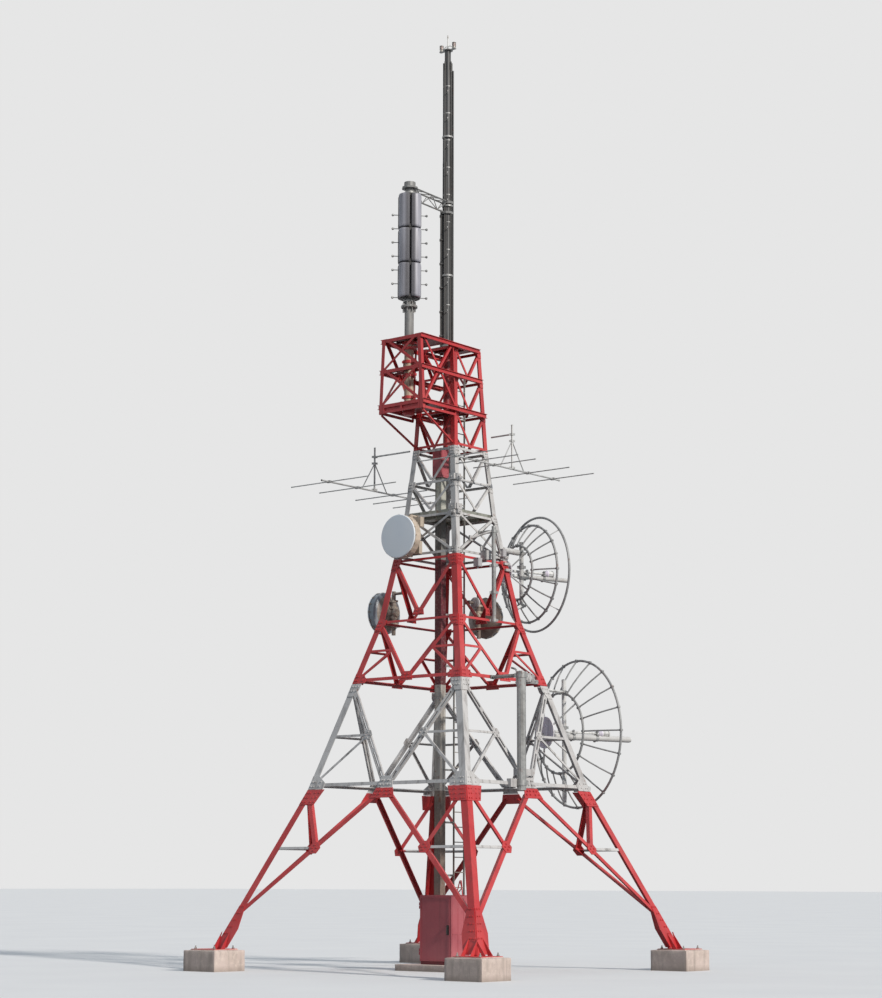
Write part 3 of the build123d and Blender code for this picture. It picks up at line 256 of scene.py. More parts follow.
def mast_foot(name, at, radius):
    """Dull red, but the upright tube at one place is worn down to cream primer."""
    made = Finish(name, "a02226", 0.32, bump=0.003)
    made.cloud((2.3, 5, 0.45, 0.7, 7), RED_DEEP, 0.7)
    made.cloud((1.0, 5, 0.5, 0.72, 0, STREAK), GRIME, 0.4, 0.6)
    within = made.maths("MULTIPLY", made.along("X", at.x - radius - 0.006, at.x - radius),
                        made.along("X", at.x + radius + 0.006, at.x + radius))
    tube = made.maths("MULTIPLY", within, made.along("Y", at.y + 0.3, at.y + 0.29))
    made.lay(tube, "beaa94", 1.0, 0.5)
    made.cloud((3.5, 6, 0.56, 0.66, 5, (4, 4, 0.8)), "96423e", 0.7, 0.6)
    made.cloud((9, 8, 0.62, 0.7), RUST, 0.4, 0.85, height=0.2)
    return made.done()


def lamp_cover(name):
    """A frosted lamp cover with a ribbed surface."""
    made = Finish(name, "e4cdc8", 0.25, bump=0.004)
    made.cloud((30, 3, 0.35, 0.65, 0, (1, 1, 6)), "cd9692", 0.5, height=0.3)
    made.shader.inputs["Transmission Weight"].default_value = 0.35
    return made.done()


RED, RED_FADED, RED_DEEP = "ba2c30", "cc5454", "8a1a28"
WHITE, WHITE_FADED, WHITE_DEEP = "bebcbb", "d4d2cf", "8e8a88"
STACK = Box("antenna_panels")
ANTENNA_AT = Vector((STACK.mid.x, STACK.mid.y, 0))
KNEE, SHOULDER, NECK, PLATFORM = (
    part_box(node)[0].z for node in ("legs_lower", "legs_middle", "legs_upper", "platform_deck"))
FINISHES = {
    "painted_steel_red": paint("red_paint", RED, RED_FADED, RED_DEEP, 0.35, 0.5),
    "painted_steel_white": paint("white_paint", WHITE, WHITE_FADED, WHITE_DEEP, 0.75, 1.0, 0.5),
    "galvanised_steel": zinc("zinc"),
    "concrete": concrete("concrete"),
    "cable_duct_paint": banded("tray_bands", [
        # The grey band from NECK up to PLATFORM is painted shade: the platform's shadow on the tray, in place
        # of its white paint.
        (0, "7a6a60"), (KNEE, "bcb8b0"), (SHOULDER, "601c28"), (NECK, "7a7a77"),
        (PLATFORM, "b6b6ac")]),
    "enclosure_red": paint("cabinet_paint", "ac525a", "bc6e73", "8c3e49", 0.2, 0.35),
    "plinth_dark_red": paint("plinth_paint", "681822", "783036", "3c0e14", grime=0.8),
    "black_plastic": plastic("handle_black", "1e1d1c", "3a3835", 0.5, 0.1),
    "lamp_glass": lamp_cover("lamp_cover"),
    "antenna_radome": radome("radome_grey", "a0a0a9", "b6b5bc", ANTENNA_AT),
    "aluminium_grey": zinc("aluminium", "b4b5b4", "8a8b8c", "cececc", 0.1, 0.3),
    "deck_brown": paint("deck_paint", "6a1a1c", "762c2a", "461214", 0.6, 0.3),
    "dish_white": shell("drum_shell", "ccd5df", "cebeac", "Y", -1.245, -1),
    "dish_grey": plastic("dish_shell", "a69c92", "8c8074", 0.4, 0.5),
}
GRID_ZINC = zinc("grid_zinc", "d4d4d2", "aaabac", "e2e2df", 0.3, 0.1)
DARK_ZINC = zinc("dark_zinc", "7c7c7b", "545556", "9e9e9c", 0.35, 0.3)
DISH_COVER = plastic("dish_cover", "f6fafe", "eaf1f9", 0.38, 0.0)
REAR_GEAR = plastic("rear_gear_cream", "c4b8a8", "968474", 0.5, 0.6)
NODE_FINISHES = {
    "mast_pole": zinc("mast_zinc", "48494a", "323335", "606061", 0.2, 0.3),
    "mast_feet": mast_foot("mast_feet_paint", ANTENNA_AT, 0.095),
    "grid_dish_lower": GRID_ZINC,
    "grid_dish_upper": GRID_ZINC,
    "antenna_mast": DARK_ZINC,
    "antenna_bracket": DARK_ZINC,
    "platform_deck": zinc("platform_zinc", "92948a", "686a62", "acaca2", 0.5, 0.3),
    "dish_left": shell("left_dish_shell", "96a0a8", "968a80", "X", -1.34, -1),
    "dish_right": shell("right_dish_shell", "969ca0", "7e7068", "Y", 1.42, 1),
    "climbing_ladder": banded("ladder_bands", [
        (0, "847a72"), (KNEE, "b2b0aa"), (SHOULDER, "703c3e"), (NECK, "b0b0aa")]),
}
CABLE = plastic("cable_sheath", "2c2b2c", "4c4946", 0.55, 0.5)
CABLE_GREY = plastic("cable_sheath_grey", "545352", "6c6a67", 0.6, 0.6)
BRIGHT_BOLT = zinc("bolt_zinc", "9e9d98", "686662", "bebcb6", 0.6, 0.7)
RUBBER = plastic("rubber_seal", "1a1a1b", "323130", 0.75, 0.1)
BOOM_WHITE = paint("boom_white", "bebdbb", "cecdcb", "9c9994", 0.3, 0.4)
GRID_BARS = zinc("grid_bars", "989999", "78797a", "b2b2b1", 0.35, 0.2)
HUB_PAINT = paint("hub_mauve", "e8e0ee", "f0eaf4", "bab0c0", 0.4, 0.4)
RADIO_GREY = plastic("radio_grey", "bab8ba", "a09c9c", 0.45, 0.5)
STEEL, BLACK, RED_STEEL, WHITE_STEEL = (
    "galvanised_steel", "black_plastic", "painted_steel_red", "painted_steel_white")

for part in frame["record"]["subparts"]:
    materials = frame["nodes"][part["node"]].data.materials
    materials.clear()
    materials.append(NODE_FINISHES.get(part["node"]) or FINISHES[part["material_slot"]])


# ==== Shapes ====
def around(count, axis=Z, zero=X, start=0.0):
    """Directions spread evenly round an axis, from the start angle past zero."""
    turns = [start + 2 * pi * k / count for k in range(count)]
    return [zero * cos(turn) + axis.cross(zero) * sin(turn) for turn in turns]


def facing(out):
    """The axes of an upright block that faces one way."""
    return out, Z.cross(out), Z


def upright(axis):
    """The axis at unit length, with some direction square to it."""
    return axis.normalized(), axis.normalized().orthogonal().normalized()


class Pile:
    """Gathers simple shapes into one piece."""

    def __init__(self):
        self.mesh = bmesh.new()

    def loft(self, rings, ends=True):
        """Skins closed rings that have equal numbers of points."""
        rows = [[self.mesh.verts.new(p) for p in ring] for ring in rings]
        for low, high in zip(rows, rows[1:]):
            for i in range(len(low)):
                j = (i + 1) % len(low)
                self.mesh.faces.new((low[i], low[j], high[j], high[i]))
        if ends:
            self.mesh.faces.new(rows[0][::-1])
            self.mesh.faces.new(rows[-1])

    def turned(self, base, axis, outline, sides=12):
        """A shape turned about an axis, from (distance along it, radius) points."""
        axis, across = upright(axis)
        self.loft([[base + axis * along + out * radius for out in around(sides, axis, across)]
                   for along, radius in outline])

    def disc(self, base, axis, radius, thick, sides=24):
        """A plain round plate, or a band if something passes through it."""
        self.turned(base, axis, [(0, radius), (thick, radius)], sides)

    def rod(self, a, b, radius, sides=8):
        """A straight round bar."""
        self.disc(a, b - a, radius, (b - a).length, sides)

    def block(self, centre, size, axes=(X, Y, Z)):
        """A box along three axes."""
        a, b, c = (axis * (length / 2) for axis, length in zip(axes, size))
        centre = Vector(centre)
        self.loft([[centre + a * i + b * j + c * k for i, j in ((-1, -1), (1, -1), (1, 1), (-1, 1))]
                   for k in (-1, 1)])

    def border(self, centre, reach, length, bar, axes=(X, Y, Z)):
        """Four bars round a panel; the bar is its width and thickness."""
        for way in (-1, 1):
            self.block(centre + axes[0] * way * reach[0], (bar[0], bar[1], length[1]), axes)
            self.block(centre + axes[2] * way * reach[1], (length[0], bar[1], bar[0]), axes)

    def tube(self, points, radius, sides=8):
        """A round tube along a line of points."""
        points = [Vector(p) for p in points]
        rings, across = [], None
        for i, point in enumerate(points):
            ahead = (points[min(i + 1, len(points) - 1)] - points[max(i - 1, 0)]).normalized()
            across = ahead.orthogonal() if across is None else across - ahead * across.dot(ahead)
            across.normalize()
            rings.append([point + out * radius for out in around(sides, ahead, across)])
        self.loft(rings)

    def hoop(self, centre, axis, radius, thick, steps=32, sides=6):
        """A closed ring of round bar."""
        axis, across = upright(axis)
        turns = [2 * pi * k / sides for k in range(sides)]
        rings = [[centre + out * (radius + thick * cos(turn)) + axis * thick * sin(turn) for turn in turns]
                 for out in around(steps, axis, across)]
        self.loft(rings + [rings[0]], ends=False)

    def collar(self, centre, axis, radius, width, thick):
        """A clamp band round a tube, with two lugs and their bolt."""
        axis, out = upright(axis)
        self.disc(centre - axis * width / 2, axis, radius + thick, width, 20)
        for side in (-1, 1):
            lug = centre + out * side * (radius + thick + 0.012)
            self.block(lug, (0.04, 0.03, width * 0.8), (out, axis.cross(out), axis))
            self.bolt(lug + axis.cross(out) * 0.015, axis.cross(out), 0.018)

    def bolt(self, at, out, size=0.03):
        """A hexagon head on a washer; the size is across its corners."""
        self.disc(at, out, size * 0.72, size * 0.1, 10)
        head = [(0, size / 2), (size * 0.4, size / 2), (size * 0.46, size * 0.4)]
        self.turned(at + out * size * 0.1, out, head, 6)

    def stud(self, at, out, size, length):
        """A nut on a washer with the end of its threaded rod."""
        self.bolt(at, out, size)
        self.turned(at + out * size * 0.4, out,
                    [(0, size * 0.26), (length - 0.004, size * 0.26), (length, size * 0.2)], 8)

    def done(self, name, slot, finish=None, body="root", replaced=None, sharp=32):
        """Makes the piece, smooth where its faces meet at a small angle."""
        bmesh.ops.remove_doubles(self.mesh, verts=self.mesh.verts, dist=1e-6)
        bmesh.ops.recalc_face_normals(self.mesh, faces=self.mesh.faces)
        for face in self.mesh.faces:
            face.smooth = True
        for edge in self.mesh.edges:
            edge.smooth = edge.calc_face_angle(pi) < radians(sharp)
        data = bpy.data.meshes.new(name)
        self.mesh.to_mesh(data)
        self.mesh.free()
        data.materials.append(finish or FINISHES[slot])
        piece = in_scene(name, data)
        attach(piece, body)
        if replaced:
            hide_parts(replaced)


def in_scene(name, data):
    """A new object, linked to the scene."""
    made = bpy.data.objects.new(name, data)
    bpy.context.scene.collection.objects.link(made)
    return made


def rounded(points, bend, steps=5):
    """The line of points with each inner corner rounded."""
    points = [Vector(p) for p in points]
    line = [points[0]]
    for before, corner, after in zip(points, points[1:], points[2:]):
        start = corner + (before - corner).normalized() * min(bend, (before - corner).length / 2)
        end = corner + (after - corner).normalized() * min(bend, (after - corner).length / 2)
        for t in [k / steps for k in range(steps + 1)]:
            line.append(start * (1 - t) ** 2 + corner * (2 * t * (1 - t)) + end * t ** 2)
    return line + [points[-1]]


# ==== The tower's faces ====
BEND, BEND_HALF, DECK_HALF, ROOF_HALF, PLATE = 7.0, 1.03, 0.672, 0.438, 0.012
DECK, TOP_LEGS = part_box("platform_deck")[1].z - 0.03, Box("legs_top")
BAND_TOP, ROOF = TOP_LEGS.low.z, TOP_LEGS.high.z
PROFILE = [(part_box(node)[0].z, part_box(node)[1].x) for node in ("legs_bottom", "legs_lower")]
PROFILE += [(BEND, BEND_HALF), (DECK, DECK_HALF), (BAND_TOP, TOP_LEGS.high.x), (ROOF, ROOF_HALF)]
FOOT, FOOT_HALF = PROFILE[0]


def half_width(z):
    """Half the tower's width over its leg corners."""
    for (z0, w0), (z1, w1) in zip(PROFILE, PROFILE[1:]):
        if z <= z1 or z1 == ROOF:
            return w0 + (w1 - w0) * (z - z0) / (z1 - z0)


def quarters(turns):
    """A rotation about the tower's axis by a number of quarter turns."""
    return Matrix.Rotation(turns * pi / 2, 3, "Z")


def face_out(side, z):
    """The way out of a leaning face; side 0 is the front and 1 the right."""
    slope = (half_width(z) - half_width(z + 0.01)) / 0.01
    return quarters(side) @ Vector((0, -1, slope)).normalized()


def on_face(side, u, z, out=0.0):
    """The point u along a face from its middle at height z, standing out from it."""
    return quarters(side) @ Vector((u, -half_width(z), z)) + face_out(side, z) * out


# Bolt groups on the gusset plates: first row, step between rows, rows, and places in from the corner.
HALF_BAND = (DECK + BAND_TOP) / 2
CORNER_BOLTS = (
    (FOOT + 0.30, 0.13, 5, (0.055, 0.125)), (KNEE - 0.07, -0.09, 3, (0.06, 0.13, 0.27, 0.37)),
    (KNEE + 0.06, 0.09, 2, (0.06, 0.13, 0.28)), (SHOULDER - 0.06, -0.09, 2, (0.06, 0.13, 0.21)),
    (SHOULDER + 0.06, 0.08, 2, (0.05, 0.11, 0.26)), (BEND - 0.07, -0.07, 3, (0.05, 0.11)),
    (NECK - 0.05, -0.07, 3, (0.05, 0.11)), (NECK + 0.05, 0.06, 2, (0.045, 0.1)),
    (DECK - 0.05, -0.06, 2, (0.045, 0.1)), (HALF_BAND - 0.04, -0.06, 2, (0.045, 0.1)),
    (BAND_TOP - 0.04, -0.06, 2, (0.045, 0.1)), (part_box("cage_decks")[0].z + 0.02, -0.05, 2, (0.04, 0.085)),
)
# Height and places out from the middle of a face.
MIDDLE_BOLTS = (
    (KNEE - 0.06, (0.06, 0.15)), (KNEE - 0.13, (0.08, 0.2)), (KNEE + 0.06, (0.05, 0.13)),
    (KNEE + 0.14, (0.05, 0.1)), (SHOULDER + 0.06, (0.05, 0.12)), (SHOULDER + 0.13, (0.05,)),
    (BEND + 0.06, (0.05, 0.1)), (BEND + 0.13, (0.05,)),
)
STRUT_BOLTS = ((-0.06, 0), (0.06, 0), (0, 0.055), (0, -0.055))
CORNER_SIZE, MIDDLE_SIZE, STRUT_SIZE = 0.028, 0.034, 0.03
FOOT_JOINT, STRUT_JOINT = FOOT + 0.56, 2.39
STRUT_NODES = ((half_width(FOOT_JOINT) * (KNEE - STRUT_JOINT) / (KNEE - FOOT_JOINT), STRUT_JOINT),
               (half_width(SHOULDER) / 2, (KNEE + SHOULDER) / 2))


def bolt_pair(pile, side, u, z, size):
    """Two bolts on the plates of one face, mirrored about its middle."""
    for way in (-1, 1):
        pile.bolt(on_face(side, way * u, z, PLATE), face_out(side, z), size)


def gusset_bolts():
    """Bolts on every gusset plate, painted as the band they are in."""
    red, white = Pile(), Pile()
    for side in range(4):
        for first, step, rows, places in CORNER_BOLTS:
            for z, place in product([first + step * row for row in range(rows)], places):
                pile = white if KNEE < z < SHOULDER or NECK < z < BAND_TOP else red
                bolt_pair(pile, side, half_width(z) - place, z, CORNER_SIZE)
        for z, places in MIDDLE_BOLTS:
            for place in places:
                bolt_pair(white if KNEE < z < SHOULDER else red, side, place, z, MIDDLE_SIZE)
        for (u, z), pile in zip(STRUT_NODES, (red, white)):
            for du, dz in STRUT_BOLTS:
                bolt_pair(pile, side, u + du, z + dz, STRUT_SIZE)
    red.done("gusset_bolts_red", RED_STEEL)
    white.done("gusset_bolts_white", WHITE_STEEL)


# ==== Foundations ====
CAST_EDGE = 50


def box_grid(pile, low, high, cell):
    """A box whose sides are divided into cells."""
    new, size = pile.mesh.verts.new, high - low
    counts = [max(2, round(length / cell)) for length in size]
    for axis, end in product(range(3), (0, 1)):
        a, b = (k for k in range(3) if k != axis)
        rows = []
        for i in range(counts[a] + 1):
            shares = [{axis: end, a: i / counts[a], b: j / counts[b]} for j in range(counts[b] + 1)]
            rows.append([new([low[k] + size[k] * share[k] for k in range(3)]) for share in shares])
        for near, far in zip(rows, rows[1:]):
            for j in range(counts[b]):
                pile.mesh.faces.new((near[j], far[j], far[j + 1], near[j + 1]))


def cast_block(pile, low, high, cell, chamfer, seed):
    """A cast block with worn arrises; it never stands outside its box."""
    start, middle, size = len(pile.mesh.verts), (low + high) / 2, high - low
    box_grid(pile, low, high, cell)
    pile.mesh.verts.ensure_lookup_table()
    for vert in pile.mesh.verts[start:]:
        ends = [k for k in range(3) if abs(abs(vert.co[k] - middle[k]) - size[k] / 2) < 1e-5]
        if vert.co.z - low.z < 1e-5:
            ends = [k for k in ends if k != 2]
        worn = 0.5 + 0.5 * noise.noise(vert.co * 9 + Vector((seed, 0, 0)))
        chip = max(0.0, noise.noise(vert.co * 4 + Vector((0, seed, 0))) - 0.25)
        for k in ends:
            depth = chamfer * (0.5 + worn) + chip * chamfer * 3 if len(ends) > 1 else chamfer * 0.2 * worn
            vert.co[k] += depth if vert.co[k] < middle[k] else -depth


def foundations():
    """The blocks and the slab, and the anchor bolts in their grout."""
    blocks, slab, anchors, grout = Pile(), Pile(), Pile(), Pile()
    block, plate = Box("foundation_blocks"), Box("base_plates")
    block_half, plate_half = block.high.x - FOOT_HALF, plate.high.x - FOOT_HALF
    for k, (sx, sy) in enumerate(CORNERS):
        foot, half = Vector((sx * FOOT_HALF, sy * FOOT_HALF, 0)), Vector((block_half, block_half, 0))
        cast_block(blocks, foot - half, foot + half + Z * block.high.z, 0.04, 0.006, k * 7.3)
        for dx, dy in CORNERS:
            anchors.stud(foot + Vector((dx, dy, 0)) * (plate_half - 0.06) + Z * plate.high.z, Z, 0.05, 0.045)
        grout.block(foot + Z * (plate.low.z + 0.008), (plate_half * 2 + 0.03, plate_half * 2 + 0.03, 0.012))
    cast_block(slab, *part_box("cabinet_slab"), 0.05, 0.005, 3.1)
    blocks.done("concrete_blocks", "concrete", replaced="foundation_blocks", sharp=CAST_EDGE)
    slab.done("concrete_slab", "concrete", replaced="cabinet_slab", sharp=CAST_EDGE)
    anchors.done("anchor_bolts", STEEL, BRIGHT_BOLT)
    grout.done("grout_beds", "concrete")


# ==== Cabinet ====
BODY, DOOR = Box("cabinet_body"), Box("cabinet_door")
DOOR_MID = Vector((BODY.mid.x, 0, DOOR.mid.z))
DOOR_WIDE, DOOR_TALL = BODY.size.x - 0.02, DOOR.size.z
ROOF_LIP, WALL, RACK_BOLTS, RACK_STEP = 0.018, Vector((0.03, 0.03, 0.03)), 24, 0.048
# The swing handle's grip from its pivot down, as (Y, Z) from the handle's middle.
GRIP = ((0.005, 0.05), (-0.02, 0.045), (-0.022, -0.07), (0.004, -0.078))


def cabinet_trim():
    """The roof's lip, the ribs pressed into the sides, and the bolts of the back."""
    trim, low, mid, high, (wide, deep, tall) = Pile(), BODY.low, BODY.mid, BODY.high, BODY.size
    trim.block((mid.x, mid.y, high.z + 0.006), (wide + ROOF_LIP, deep + ROOF_LIP, 0.012))
    trim.block((mid.x, low.y - 0.004, high.z - 0.012), (wide + ROOF_LIP, 0.012, 0.03))
    for x, out in ((high.x, 1), (low.x, -1)):
        for share in (0.34, 0.67):
            trim.block((x + out * 0.003, low.y + deep * share, mid.z), (0.006, 0.016, tall - 0.06))
        trim.block((x + out * 0.004, mid.y, low.z + tall * 0.42), (0.008, deep - 0.02, 0.014))
    for dx, dz in product((0.02, 0.38, 0.74), (0.03, 0.62, 1.2)):
        trim.bolt(Vector((low.x + dx, high.y, low.z + dz)), Y, 0.022)
    trim.done("cabinet_trim", "enclosure_red")


def door_folds():
    """The door's folded edge, and inside it two stiffeners."""
    folds = Pile()
    folds.border(DOOR_MID + Y * (DOOR.low.y + 0.003), (DOOR_WIDE / 2 - 0.03, DOOR_TALL / 2 - 0.03),
                 (DOOR_WIDE - 0.06, DOOR_TALL - 0.06), (0.012, 0.006))
    for dz in (-0.28, 0.28):
        folds.block(DOOR_MID + Vector((0, DOOR.low.y + 0.05, dz)), (DOOR_WIDE - 0.12, 0.03, 0.05))
    folds.done("door_folds", "enclosure_red", body="cabinet_door")


def swing_handle():
    """A swing handle on its back plate, with the lock above the grip."""
    handle, middle = Pile(), Box("door_handle").mid
    handle.block(middle + Y * 0.013, (0.062, 0.006, 0.19))
    handle.turned(middle + Vector((0, 0.006, 0.07)), -Y, [(0, 0.018), (0.016, 0.017), (0.02, 0.012)], 16)
    handle.tube(rounded([middle + Y * y + Z * z for y, z in GRIP], 0.02), 0.009, 10)
    handle.done("swing_handle", BLACK, body="cabinet_door", replaced="door_handle")


def cabinet_inside():
    """The seal round the opening, and the back plate with its two rack rails."""
    seal, rack = Pile(), Pile()
    seal.border(DOOR_MID + Y * (BODY.low.y + 0.004), (DOOR_WIDE / 2 - 0.012, DOOR_TALL / 2 - 0.026),
                (DOOR_WIDE - 0.04, DOOR_TALL - 0.04), (0.014, 0.012))
    seal.done("door_seal", BLACK, RUBBER)
    low, high = BODY.low + WALL, BODY.high - WALL
    wide, tall = high.x - low.x, high.z - low.z
    rack.block((BODY.mid.x, high.y, BODY.mid.z), (wide - 0.04, 0.004, tall - 0.06))
    for x in (low.x + 0.03, high.x - 0.03):
        for y in (low.y + 0.05, high.y - 0.05):
            rack.block((x, y, BODY.mid.z), (0.035, 0.03, tall))
        for k in range(RACK_BOLTS):
            rack.bolt(Vector((x, low.y + 0.035, low.z + 0.06 + RACK_STEP * k)), -Y, 0.012)
    rack.done("cabinet_rack_rails", STEEL)


# ==== Cable tray, ladder ties and enclosures ====
TRAY, LADDER = Box("cable_duct"), Box("climbing_ladder")
RAIL_WIDE, RAIL_THICK, RUNG_STEP, COVERS, TIES, TIE_STEP = 0.04, 0.006, 0.33, 4, 8, 1.05
TRAY_HALF, RUNGS = TRAY.size.x / 2, int(TRAY.size.z / RUNG_STEP)
CABLE_RADII, CABLE_STEP = (0.011, 0.009, 0.013), 0.023


def cable_tray():
    """A channel of two rails, with rungs and long covers."""
    tray, low, mid = Pile(), TRAY.low, TRAY.mid
    tall, wide, rail = TRAY.size.z, 2 * TRAY_HALF, TRAY_HALF - RAIL_THICK / 2
    for sx in (-1, 1):
        tray.block((mid.x + sx * rail, mid.y, mid.z), (RAIL_THICK, wide, tall))
        for sy in (-1, 1):
            tray.block((mid.x + sx * (rail - RAIL_WIDE / 2), mid.y + sy * rail, mid.z),
                       (RAIL_WIDE, RAIL_THICK, tall))
    for k, y in product(range(RUNGS), (low.y + 0.012, TRAY.high.y - 0.012)):
        tray.block((mid.x, y, low.z + RUNG_STEP * (k + 0.5)), (wide - 0.012, 0.02, 0.035))
    for k in range(COVERS):
        z = low.z + tall / COVERS * (k + 0.5)
        tray.block((mid.x, low.y + 0.0035, z), (wide - 0.006, 0.004, tall / COVERS - 0.008))
        for dz in (-0.8, 0.0, 0.8):
            tray.bolt(Vector((mid.x, low.y, z + dz)), -Y, 0.016)
    tray.done("cable_tray", "cable_duct_paint", replaced="cable_duct")


def tray_cables():
    """Two rows of cables in the tray, on clips."""
    cables, clips = Pile(), Pile()
    for row, y in enumerate((TRAY.high.y - 0.085, TRAY.high.y - 0.05)):
        for k in range(5):
            x = TRAY.low.x + 0.034 + CABLE_STEP * k
            foot = Vector((x, y + 0.006 * (k % 2), TRAY.low.z))
            cables.rod(foot, Vector((x, y, TRAY.high.z)), CABLE_RADII[(k + row) % 3])
    for k in range(RUNGS):
        clips.block((TRAY.mid.x, TRAY.mid.y, TRAY.low.z + RUNG_STEP * (k + 1)),
                    (2 * TRAY_HALF - 0.014, 2 * TRAY_HALF - 0.05, 0.012))
    cables.done("tray_cables", BLACK, CABLE)
    clips.done("tray_clips", STEEL, BRIGHT_BOLT)


def ladder_ties():
    """Flat bars that hold the ladder to the tray."""
    ties = Pile()
    for k in range(TIES):
        z = TRAY.low.z + 0.4 + TIE_STEP * k
        ties.block(((TRAY.high.x + LADDER.low.x) / 2, LADDER.low.y - 0.006, z),
                   (LADDER.low.x - TRAY.high.x + 0.03, 0.008, 0.04))
        ties.block((TRAY.high.x - 0.004, (TRAY.mid.y + LADDER.low.y) / 2, z),
                   (0.008, LADDER.low.y - TRAY.mid.y, 0.04))
        ties.bolt(Vector((LADDER.mid.x, LADDER.low.y - 0.01, z)), -Y, 0.022)
    ties.done("ladder_ties", STEEL)


def upper_enclosure():
    """The upper enclosure's lid, folded fronts, screws and cable glands."""
    lid, box = Pile(), Box("upper_enclosure")
    wide, tall = box.size.x, box.size.z
    lid.block(box.mid + Z * (tall / 2 - 0.008), (wide + 0.016, box.size.y + 0.016, 0.012))
    for out, along in ((-Y, X), (X, Y)):
        face = box.mid + out * (wide / 2 + 0.002)
        lid.border(face, (wide / 2 - 0.016, tall / 2 - 0.03), (wide - 0.03, tall - 0.05), (0.008, 0.006),
                   (along, out, Z))
        for way in (-1, 1):
            lid.bolt(face + along * 0.085 + Z * way * 0.2, out, 0.016)
    for k in range(4):
        gland = box.low + Vector((0.05 + 0.045 * k, 0.12, 0))
        lid.turned(gland, -Z, [(0, 0.016), (0.03, 0.014), (0.05, 0.009)], 10)
    lid.done("upper_enclosure_trim", "enclosure_red")


def junction_box():
    """A small lidded box on two hangers under the platform."""
    junction, middle = Pile(), Vector((-0.06, -0.46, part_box("platform_deck")[0].z - 0.02))
    junction.block(middle, (0.34, 0.2, 0.13))
    junction.block(middle - Z * 0.05 - Y * 0.005, (0.35, 0.21, 0.02))
    for dx in (-0.12, 0.12):
        junction.block(middle + Vector((dx, 0, 0.075)), (0.03, 0.18, 0.03))
        junction.bolt(middle + Vector((dx, -0.1, 0.02)), -Y, 0.018)
    junction.done("junction_box", STEEL, NODE_FINISHES["platform_deck"])


# ==== Main mast ====
HEAD, MAST = Box("mast_head"), Box("mast_pole")
MAST_AT, MAST_RADIUS = Vector((HEAD.mid.x, HEAD.mid.y, 0)), 0.082
DIAGONAL = Vector((0.777, 0.629, 0))
SIDEWAYS = DIAGONAL.cross(Z)
CAGE_FLOOR, CAGE_RAIL, CAGE_TOP = 11.31, 12.03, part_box("cage_decks")[1].z
STEP_REACH, STEP_UP, STEP_BAR = 0.115, 0.3, 0.009
FLANGES, FLANGE_STEP, FLANGE_BOLTS = 4, 1.52, 8
# Each cable's turn about the mast and its radius; the thin ones end lower.
MAST_CABLES = ((-0.5, 0.016), (-0.18, 0.012), (0.9, 0.014), (1.2, 0.011), (2.4, 0.013), (3.6, 0.015),
               (3.9, 0.011))
THICK_CABLE, THICK_SHARE, THIN_SHARE = 0.0125, 0.96, 0.62
FEEDER_OFF, FEEDER_RADIUS, FEEDER_APART, CLEATS, CLEAT_STEP = 0.137, 0.017, 0.021, 6, 0.52


def mast_steps():
    """The main mast's steps, on alternate sides, and its bands and bolted flanges."""
    steps, bands = Pile(), Pile()
    for k in range(int((HEAD.low.z - CAGE_TOP - 0.8) / STEP_UP)):
        at, out = MAST_AT + Z * (CAGE_TOP + 0.5 + STEP_UP * k), SIDEWAYS * (1 if k % 2 else -1)
        toe = at + out * (MAST_RADIUS + STEP_REACH - 0.006)
        steps.rod(at + out * (MAST_RADIUS - 0.01), at + out * (MAST_RADIUS + STEP_REACH), STEP_BAR)
        steps.rod(toe, toe + Z * 0.03, STEP_BAR)
        steps.turned(at + out * (MAST_RADIUS - 0.006), out, [(0, 0.02), (0.014, 0.018)], 6)
        if k % 2:
            bands.disc(at + Z * 0.15, Z, MAST_RADIUS + 0.004, 0.02)
    for k in range(FLANGES):
        at = MAST_AT + Z * (CAGE_TOP + 0.06 + FLANGE_STEP * k)
        for rise in (0, 0.018):
            bands.disc(at + Z * rise, Z, MAST_RADIUS + 0.035, 0.016)
        for out in around(FLANGE_BOLTS):
            bands.bolt(at + Z * 0.034 + out * (MAST_RADIUS + 0.018), Z, 0.022)
    steps.done("mast_steps", STEEL)
    bands.done("mast_bands", STEEL)


def mast_cables():
    """Cables along the main mast, and two feeders on cleats up to the antenna's bracket."""
    cables, axes = Pile(), (DIAGONAL, SIDEWAYS, Z)
    for turn, radius in MAST_CABLES:
        foot = MAST_AT + Matrix.Rotation(turn, 3, "Z") @ -DIAGONAL * (MAST_RADIUS + radius)
        share = THICK_SHARE if radius > THICK_CABLE else THIN_SHARE
        cables.rod(foot + Z * MAST.low.z, foot + Z * (CAGE_TOP + (HEAD.low.z - CAGE_TOP) * share), radius)
    low, top = MAST.low.z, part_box("antenna_bracket")[0].z + 0.1
    for way in (-1, 1):
        foot = MAST_AT - DIAGONAL * FEEDER_OFF + SIDEWAYS * way * FEEDER_APART
        cables.rod(foot + Z * low, foot + Z * top, FEEDER_RADIUS, 10)
    rail, cleat = (MAST_AT - DIAGONAL * (MAST_RADIUS + off) for off in (0.02, 0.04))
    cables.block(rail + Z * (low + top) / 2, (0.055, 0.024, top - low - 0.1), axes)
    for k in range(CLEATS):
        cables.block(cleat + Z * (low + 0.3 + CLEAT_STEP * k), (0.09, 0.1, 0.03), axes)
    cables.done("mast_cables", BLACK, CABLE_GREY)


